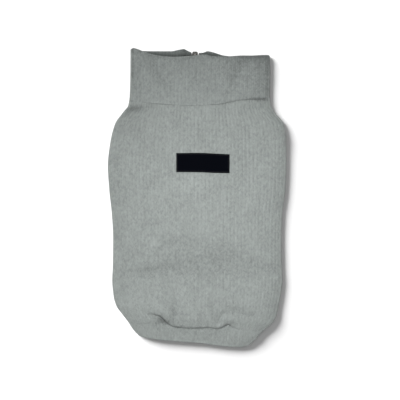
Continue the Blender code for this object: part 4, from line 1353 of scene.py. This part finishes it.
def make_tape(name, sign):
    """A woven tape with a corded edge beside its coil, and a stitched line that holds the coil."""
    y = np.linspace(TAPE_BOTTOM_Y, TAPE_TOP_Y, 240)[:, None]
    width = TAPE_OUTER - TAPE_INNER
    across = np.array(TAPE_COLUMNS)[None, :] * width / TAPE_COLUMNS[-1]
    x = ZIP_X + sign * (TAPE_INNER + across) + 0 * y
    y = y + 0 * x
    lines = sum(rise * bell(across - at, half) for at, half, rise in (TAPE_CORD, TAPE_SEAM))
    edge = TAPE_EDGE * (np.exp(-across / TAPE_EDGE) + np.exp(-(width - across) / TAPE_EDGE))
    base = tape_height(y) + hills(x, y, *TAPE_WAVE) * np.clip(across / TAPE_CALM, 0, 1)
    top = np.stack([x, y, base + TAPE + lines - edge], axis=-1)
    low = np.stack([x, y, base + edge], axis=-1)
    return mesh_piece(name, *thick_sheet(top, low, flip=sign < 0), TAPE_WEAVE)


def round_box(x0, x1, y0, y1, radius, steps=6):
    """A rectangle with round corners, anticlockwise."""
    corners = ((x1, y1, 0), (x0, y1, 90), (x0, y0, 180), (x1, y0, 270))
    outline = []
    for x, y, start in corners:
        cx = x - radius if x == x1 else x + radius
        cy = y - radius if y == y1 else y + radius
        for i in range(steps + 1):
            a = math.radians(start + 90 * i / steps)
            outline.append((cx + radius * math.cos(a), cy + radius * math.sin(a)))
    return np.array(outline)


def inset_outline(outline, by):
    """The outline moved inwards along its corners' normals."""
    before = np.roll(outline, 1, axis=0)
    after = np.roll(outline, -1, axis=0)
    along = after - before
    along /= np.maximum(np.linalg.norm(along, axis=1, keepdims=True), 1e-9)
    inward = np.stack([-along[:, 1], along[:, 0]], axis=1)
    return outline + inward * by


BEVEL_TURNS = (0, 22, 45, 68, 90)  # degrees round a bevel


def slab(outline, bottom, top, bevel, hole=None):
    """(points, faces) of a flat piece with rounded edges, and a hole whose outline has as many points."""
    turns = np.radians(BEVEL_TURNS)
    inset = bevel * (1 - np.sin(turns))
    rise = bevel * (1 - np.cos(turns))
    levels = [*zip(inset, bottom + rise), *zip(inset[::-1], top - rise[::-1])]
    count = len(outline)
    last = (len(levels) - 1) * count
    points = [np.column_stack([inset_outline(outline, by), np.full(count, z)]) for by, z in levels]
    faces = wall_faces(0, count, len(levels))
    if hole is None:
        faces += [tuple(range(count))[::-1], tuple(range(last, last + count))]
        return np.concatenate(points), faces
    start = last + count
    points += [np.column_stack([inset_outline(hole, -by), np.full(count, z)]) for by, z in levels]
    faces += [face[::-1] for face in wall_faces(start, count, len(levels))]
    for k in range(count):
        m = (k + 1) % count
        faces.append((k, start + k, start + m, m))
        faces.append((last + k, last + m, last + start + m, last + start + k))
    return np.concatenate(points), faces


def metal_piece(name, parts, x, y, material=METAL, crisp=True):
    """A piece of the zip's metal, crisp or soft at its edges, from parts whose own origin is at x and y."""
    points, faces = joined(parts)
    piece = mesh_piece(name, points + np.array([x, y, 0.0]), faces, material)
    if crisp:
        piece.data.set_sharp_from_angle(angle=math.radians(40))
    return piece


SLIDER_TOP_Y = 160.2
SLIDER_LENGTH = 9.2
SLIDER_HALF = 3.3
SLIDER_TAPER = 0.2
PLATE = 0.7
PLATE_CORNER = 2.2
PLATE_BEVEL = 0.22
OUTER_PLATE_Z = 2.0
INNER_PLATE_Z = 5.1
RIM = 0.5
RIM_HEIGHT = 0.5
RIM_ENDS = (-7.0, -2.0)  # from the slider's top
ROOT = 0.2  # parts that stand on a plate go this far into it
FRAME = (0.55, 0.22, 0.14)  # the inner plate's raised frame: width, height and bevel
POST_BACK = 3.1
POST_RADIUS = 0.95
RIVET = (0.32, 0.28)  # height and bevel of the post's head on the inner plate
HINGE_Y = 155.4
HINGE_Z = 1.35
CROWN_WIDTH = 1.6
CROWN_MIDDLE = (2.62, 1.71)  # half span and depth of the arch's middle line
CROWN_ROOT_Z = 2.2
CROWN_THICK = 0.42
PULL_THICK = 0.7
PULL_LENGTH = 20.0
PULL_HALF = 2.5
PULL_NARROWS = 0.25  # as a share of its width, where its crossbar is
PULL_CORNER = 1.2
PULL_BEVEL = 0.18
PULL_WINDOW = (1.25, 4.2)  # half width and length
WINDOW_CORNER = 0.35
CROSSBAR = 0.7
GRIP = (1.5, 1.3, 6.3)  # half width of the grip's frame, and the distances of its ends
GRIP_CORNER = 0.9
GRIP_LINE = 0.35
GRIP_RISE = 0.12
GRIP_ROOT = 0.1  # the grip's lines go this far into the tab
GRIP_BARS = 6
GRIP_BAR = (0.8, 0.2)  # half width across the tab and along it
GRIP_BAR_FIRST = 3.4  # from the tab's end
GRIP_BAR_PITCH = 1.1
BOX_SIZE = (7.6, 6.6, 2.9)
BOX_Z = 1.2
BOX_CORNER = 0.8
BOX_BEVEL = 0.35
BOX_GROOVE = 0.4
BOX_CORE = (0.8, 0.5, 0.35)  # how far the core between the two halves lies in, each way


def tapered(outline):
    outline = np.array(outline, float)
    outline[:, 0] *= 1 + SLIDER_TAPER * outline[:, 1] / SLIDER_LENGTH
    return outline


def crown():
    """The arch that holds the pull tab: a flat bar bent to half an oval."""
    turns = np.linspace(0, np.pi, 25)
    half, thick = CROWN_WIDTH / 2, CROWN_THICK / 2
    section = round_box(-half, half, -thick, thick, 0.15, 3)
    points = []
    for a in turns:
        centre = np.array([0, CROWN_MIDDLE[0] * math.cos(a), CROWN_ROOT_Z - CROWN_MIDDLE[1] * math.sin(a)])
        out = np.array([0, math.cos(a) / CROWN_MIDDLE[0], -math.sin(a) / CROWN_MIDDLE[1]])
        out /= np.linalg.norm(out)
        points += [centre + np.array([across, 0, 0]) + out * deep for across, deep in section]
    return np.array(points) + np.array([0, HINGE_Y - SLIDER_TOP_Y, 0]), bar_faces(len(section), len(turns))


def make_slider():
    """Two plates with rims, joined by a riveted post, and the crown."""
    face = tapered(round_box(-SLIDER_HALF, SLIDER_HALF, -SLIDER_LENGTH, 0.0, PLATE_CORNER))
    outer_top = OUTER_PLATE_Z + PLATE
    inner_top = INNER_PLATE_Z + PLATE
    parts = [slab(face, z, z + PLATE, PLATE_BEVEL) for z in (OUTER_PLATE_Z, INNER_PLATE_Z)]
    for sign in (-1, 1):
        x0, x1 = sorted((sign * SLIDER_HALF, sign * (SLIDER_HALF - RIM)))
        rim = tapered(round_box(x0, x1, *RIM_ENDS, 0.2, 2))
        parts.append(slab(rim, outer_top - ROOT, outer_top + RIM_HEIGHT, 0.12))
        parts.append(slab(rim, INNER_PLATE_Z - RIM_HEIGHT, INNER_PLATE_Z + ROOT, 0.12))
    turns = np.arange(24) * 2 * np.pi / 24
    post = np.column_stack([np.cos(turns), np.sin(turns)]) * POST_RADIUS + np.array([0, -POST_BACK])
    parts.append(slab(post, OUTER_PLATE_Z + ROOT, INNER_PLATE_Z + ROOT, 0.05))
    width, rise, bevel = FRAME
    frame_outer, frame_inner = inset_outline(face, 0.02), inset_outline(face, width)
    parts.append(slab(frame_outer, inner_top - 0.15, inner_top + rise, bevel, frame_inner))
    parts.append(crown())
    body = metal_piece("slider_body", parts, ZIP_X, SLIDER_TOP_Y)
    rise, bevel = RIVET
    rivet = slab(post, inner_top - 0.1, inner_top + rise, bevel)
    return body, metal_piece("slider_rivet", [rivet], ZIP_X, SLIDER_TOP_Y, BRIGHT_METAL, crisp=False)


def narrowed(outline):
    """The pull tab's outline, narrower towards its crossbar."""
    outline = np.array(outline, float)
    outline[:, 0] *= 1 - PULL_NARROWS * (1 + outline[:, 1] / PULL_LENGTH)
    return outline


def make_pull():
    """The pull tab, with a window round the crown and a raised grip."""
    half, length = PULL_WINDOW
    bar = CROSSBAR / 2
    edge = narrowed(round_box(-PULL_HALF, PULL_HALF, -PULL_LENGTH, bar, PULL_CORNER))
    window = round_box(-half, half, -bar - length, -bar, WINDOW_CORNER)
    low = HINGE_Z - PULL_THICK / 2
    parts = [slab(edge, low, low + PULL_THICK, PULL_BEVEL, window)]
    half, low_end, high_end = GRIP
    grip = narrowed(round_box(-half, half, -PULL_LENGTH + low_end, -high_end, GRIP_CORNER))
    parts.append(slab(grip, low - GRIP_RISE, low + GRIP_ROOT, 0.08, inset_outline(grip, GRIP_LINE)))
    half_x, half_y = GRIP_BAR
    for i in range(GRIP_BARS):
        y = -PULL_LENGTH + GRIP_BAR_FIRST + GRIP_BAR_PITCH * i
        outline = round_box(-half_x, half_x, y - half_y, y + half_y, 0.15, 2)
        parts.append(slab(outline, low - GRIP_RISE, low + GRIP_ROOT, 0.06))
    return metal_piece("pull_tab_metal", parts, ZIP_X, HINGE_Y)


def make_box():
    """The moulded box at the zip's lower end, with a groove down its middle on both sides."""
    half, length, thick = BOX_SIZE[0] / 2, BOX_SIZE[1], BOX_SIZE[2]
    in_x, in_y, in_z = BOX_CORE
    parts = []
    for x0, x1 in ((-half, -BOX_GROOVE / 2), (BOX_GROOVE / 2, half)):
        parts.append(slab(round_box(x0, x1, -length, 0.0, BOX_CORNER), BOX_Z, BOX_Z + thick, BOX_BEVEL))
    core = round_box(-half + in_x, half - in_x, -length + in_y, -in_y, 0.4)
    parts.append(slab(core, BOX_Z + in_z, BOX_Z + thick - in_z, 0.1))
    return metal_piece("box_metal", parts, ZIP_X, TAPE_BOTTOM_Y - SEAM_GAP)


# ---------------------------------------------------------------- the floor, light and camera

FLOOR_GREY = 0.94
FLOOR_SIZE = 8.0
FLOOR_Z = -0.0003  # metres, as the lamp's place and size are


def pale_floor():
    look = Shading("pale_floor", 0.9, (FLOOR_GREY,) * 3)
    look.set(Specular_IOR_Level=0.1)
    bpy.ops.mesh.primitive_plane_add(size=FLOOR_SIZE, location=(0, 0, FLOOR_Z))
    floor = bpy.context.object
    floor.name = "floor"
    floor.data.materials.append(look.material)
    return floor


DOME = 0.23
KEY_FROM = Vector((-0.50, 0.55, 0.68))  # towards the sun that lights the garment
KEY_POWER = 1.52
LAMP_AT = (0.003, -0.022, 0.29)  # a soft lamp over the garment's middle
LAMP_SIZE = 0.12
LAMP_POWER = 0.48
SHADOW_FROM = Vector((-8.4, 6.8, 5.2))  # towards the sun that casts the shadow on the floor
SHADOW_POWER = 6.6
FLOOR_FILL = 0.22  # a sun straight above the floor
FILL_FROM = Vector((0.75, -0.45, 0.40))  # a weak light on the sides that face away from the key
FILL_POWER = 0.36
SUN_ANGLES = dict(key_sun=18, fill_sun=60, floor_sun=35, floor_fill=25)  # degrees: how soft each one is


def light(name, kind, power, towards=None, at=(0, 0, 1)):
    data = bpy.data.lights.new(name, kind)
    data.energy = power
    lamp = bpy.data.objects.new(name, data)
    lamp.location = at
    if towards:
        lamp.rotation_euler = (-towards).to_track_quat("-Z", "Y").to_euler()
        data.angle = math.radians(SUN_ANGLES[name])
    bpy.context.scene.collection.objects.link(lamp)
    return lamp


def lights(floor):
    """A white dome, suns and a lamp for the garment, and two suns that only the floor receives."""
    world = bpy.data.worlds.new("studio")
    bpy.context.scene.world = world
    world.use_nodes = True
    background = world.node_tree.nodes["Background"]
    background.inputs["Color"].default_value = (1.0, 1.0, 1.0, 1.0)
    background.inputs["Strength"].default_value = DOME
    key = light("key_sun", "SUN", KEY_POWER, KEY_FROM)
    lamp = light("overhead_lamp", "AREA", LAMP_POWER, at=LAMP_AT)
    lamp.data.size = LAMP_SIZE
    fill = light("fill_sun", "SUN", FILL_POWER, FILL_FROM)
    low = light("floor_sun", "SUN", SHADOW_POWER, SHADOW_FROM)
    above = light("floor_fill", "SUN", FLOOR_FILL, Vector((0, 0, 1)))
    for source in (key, lamp, fill, low, above):
        receivers = bpy.data.collections.new(source.name + "_receivers")
        receivers.objects.link(floor)
        state = "INCLUDE" if source in (low, above) else "EXCLUDE"
        receivers.collection_objects[0].light_linking.link_state = state
        source.light_linking.receiver_collection = receivers


PIXEL = 1.1  # one pixel of the photo, in millimetres
FRAME_PIXELS = 400
FRAME_CENTRE = (3.6, -2.8)
CAMERA_HEIGHT = 3.0  # metres
SENSOR = 36.0
SIDES = (("left", -1), ("right", 1))


def camera():
    """Straight above the garment, framed as the photo is."""
    data = bpy.data.cameras.new("camera")
    data.sensor_width = SENSOR
    data.lens = SENSOR * CAMERA_HEIGHT / (PIXEL * FRAME_PIXELS * MM)
    eye = bpy.data.objects.new("camera", data)
    eye.location = (FRAME_CENTRE[0] * MM, FRAME_CENTRE[1] * MM, CAMERA_HEIGHT)
    bpy.context.scene.collection.objects.link(eye)
    bpy.context.scene.camera = eye


def place(piece, body, slot, *nodes):
    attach(piece, body)
    if nodes:
        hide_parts(*nodes)


def main():
    bpy.context.scene.view_settings.view_transform = "Standard"
    camera()
    lights(pale_floor())
    wrap = back_wrap()
    back = make_back(wrap)
    collar = make_collar()
    hem = make_hem()
    belly = [make_belly(f"belly_cloth_{side}", sign) for side, sign in SIDES]
    label = make_label(wrap)
    label_thread = label_stitches(wrap)
    tapes = [make_tape(f"tape_{side}", sign) for side, sign in SIDES]
    coils = [mesh_piece(f"coil_{side}", *coil(sign), COIL) for side, sign in SIDES]
    belly_thread = mesh_piece("belly_thread", *underside_stitches(), GREY_THREAD)
    slider, rivet = make_slider()
    pull = make_pull()
    box = make_box()
    place(back, "garment", "knit", "back_panel")
    place(collar, "garment", "collar_knit", "collar")
    place(hem, "garment", "knit", "hem_band")
    place(belly[0], "garment", "knit", "belly_panel_left")
    place(belly[1], "garment", "knit", "belly_panel_right")
    place(label, "garment", "label", "label")
    place(label_thread, "garment", "label")
    place(belly_thread, "garment", "knit")
    place(tapes[0], "garment", "zip_tape", "zip_tape_left")
    place(tapes[1], "garment", "zip_tape", "zip_tape_right")
    for piece in coils:
        place(piece, "garment", "zip_tape")
    place(slider, "garment", "zip_metal", "zip_slider")
    place(rivet, "garment", "zip_metal")
    place(box, "garment", "zip_metal", "zip_box")
    place(pull, "pull_tab", "zip_metal", "zip_pull")


main()
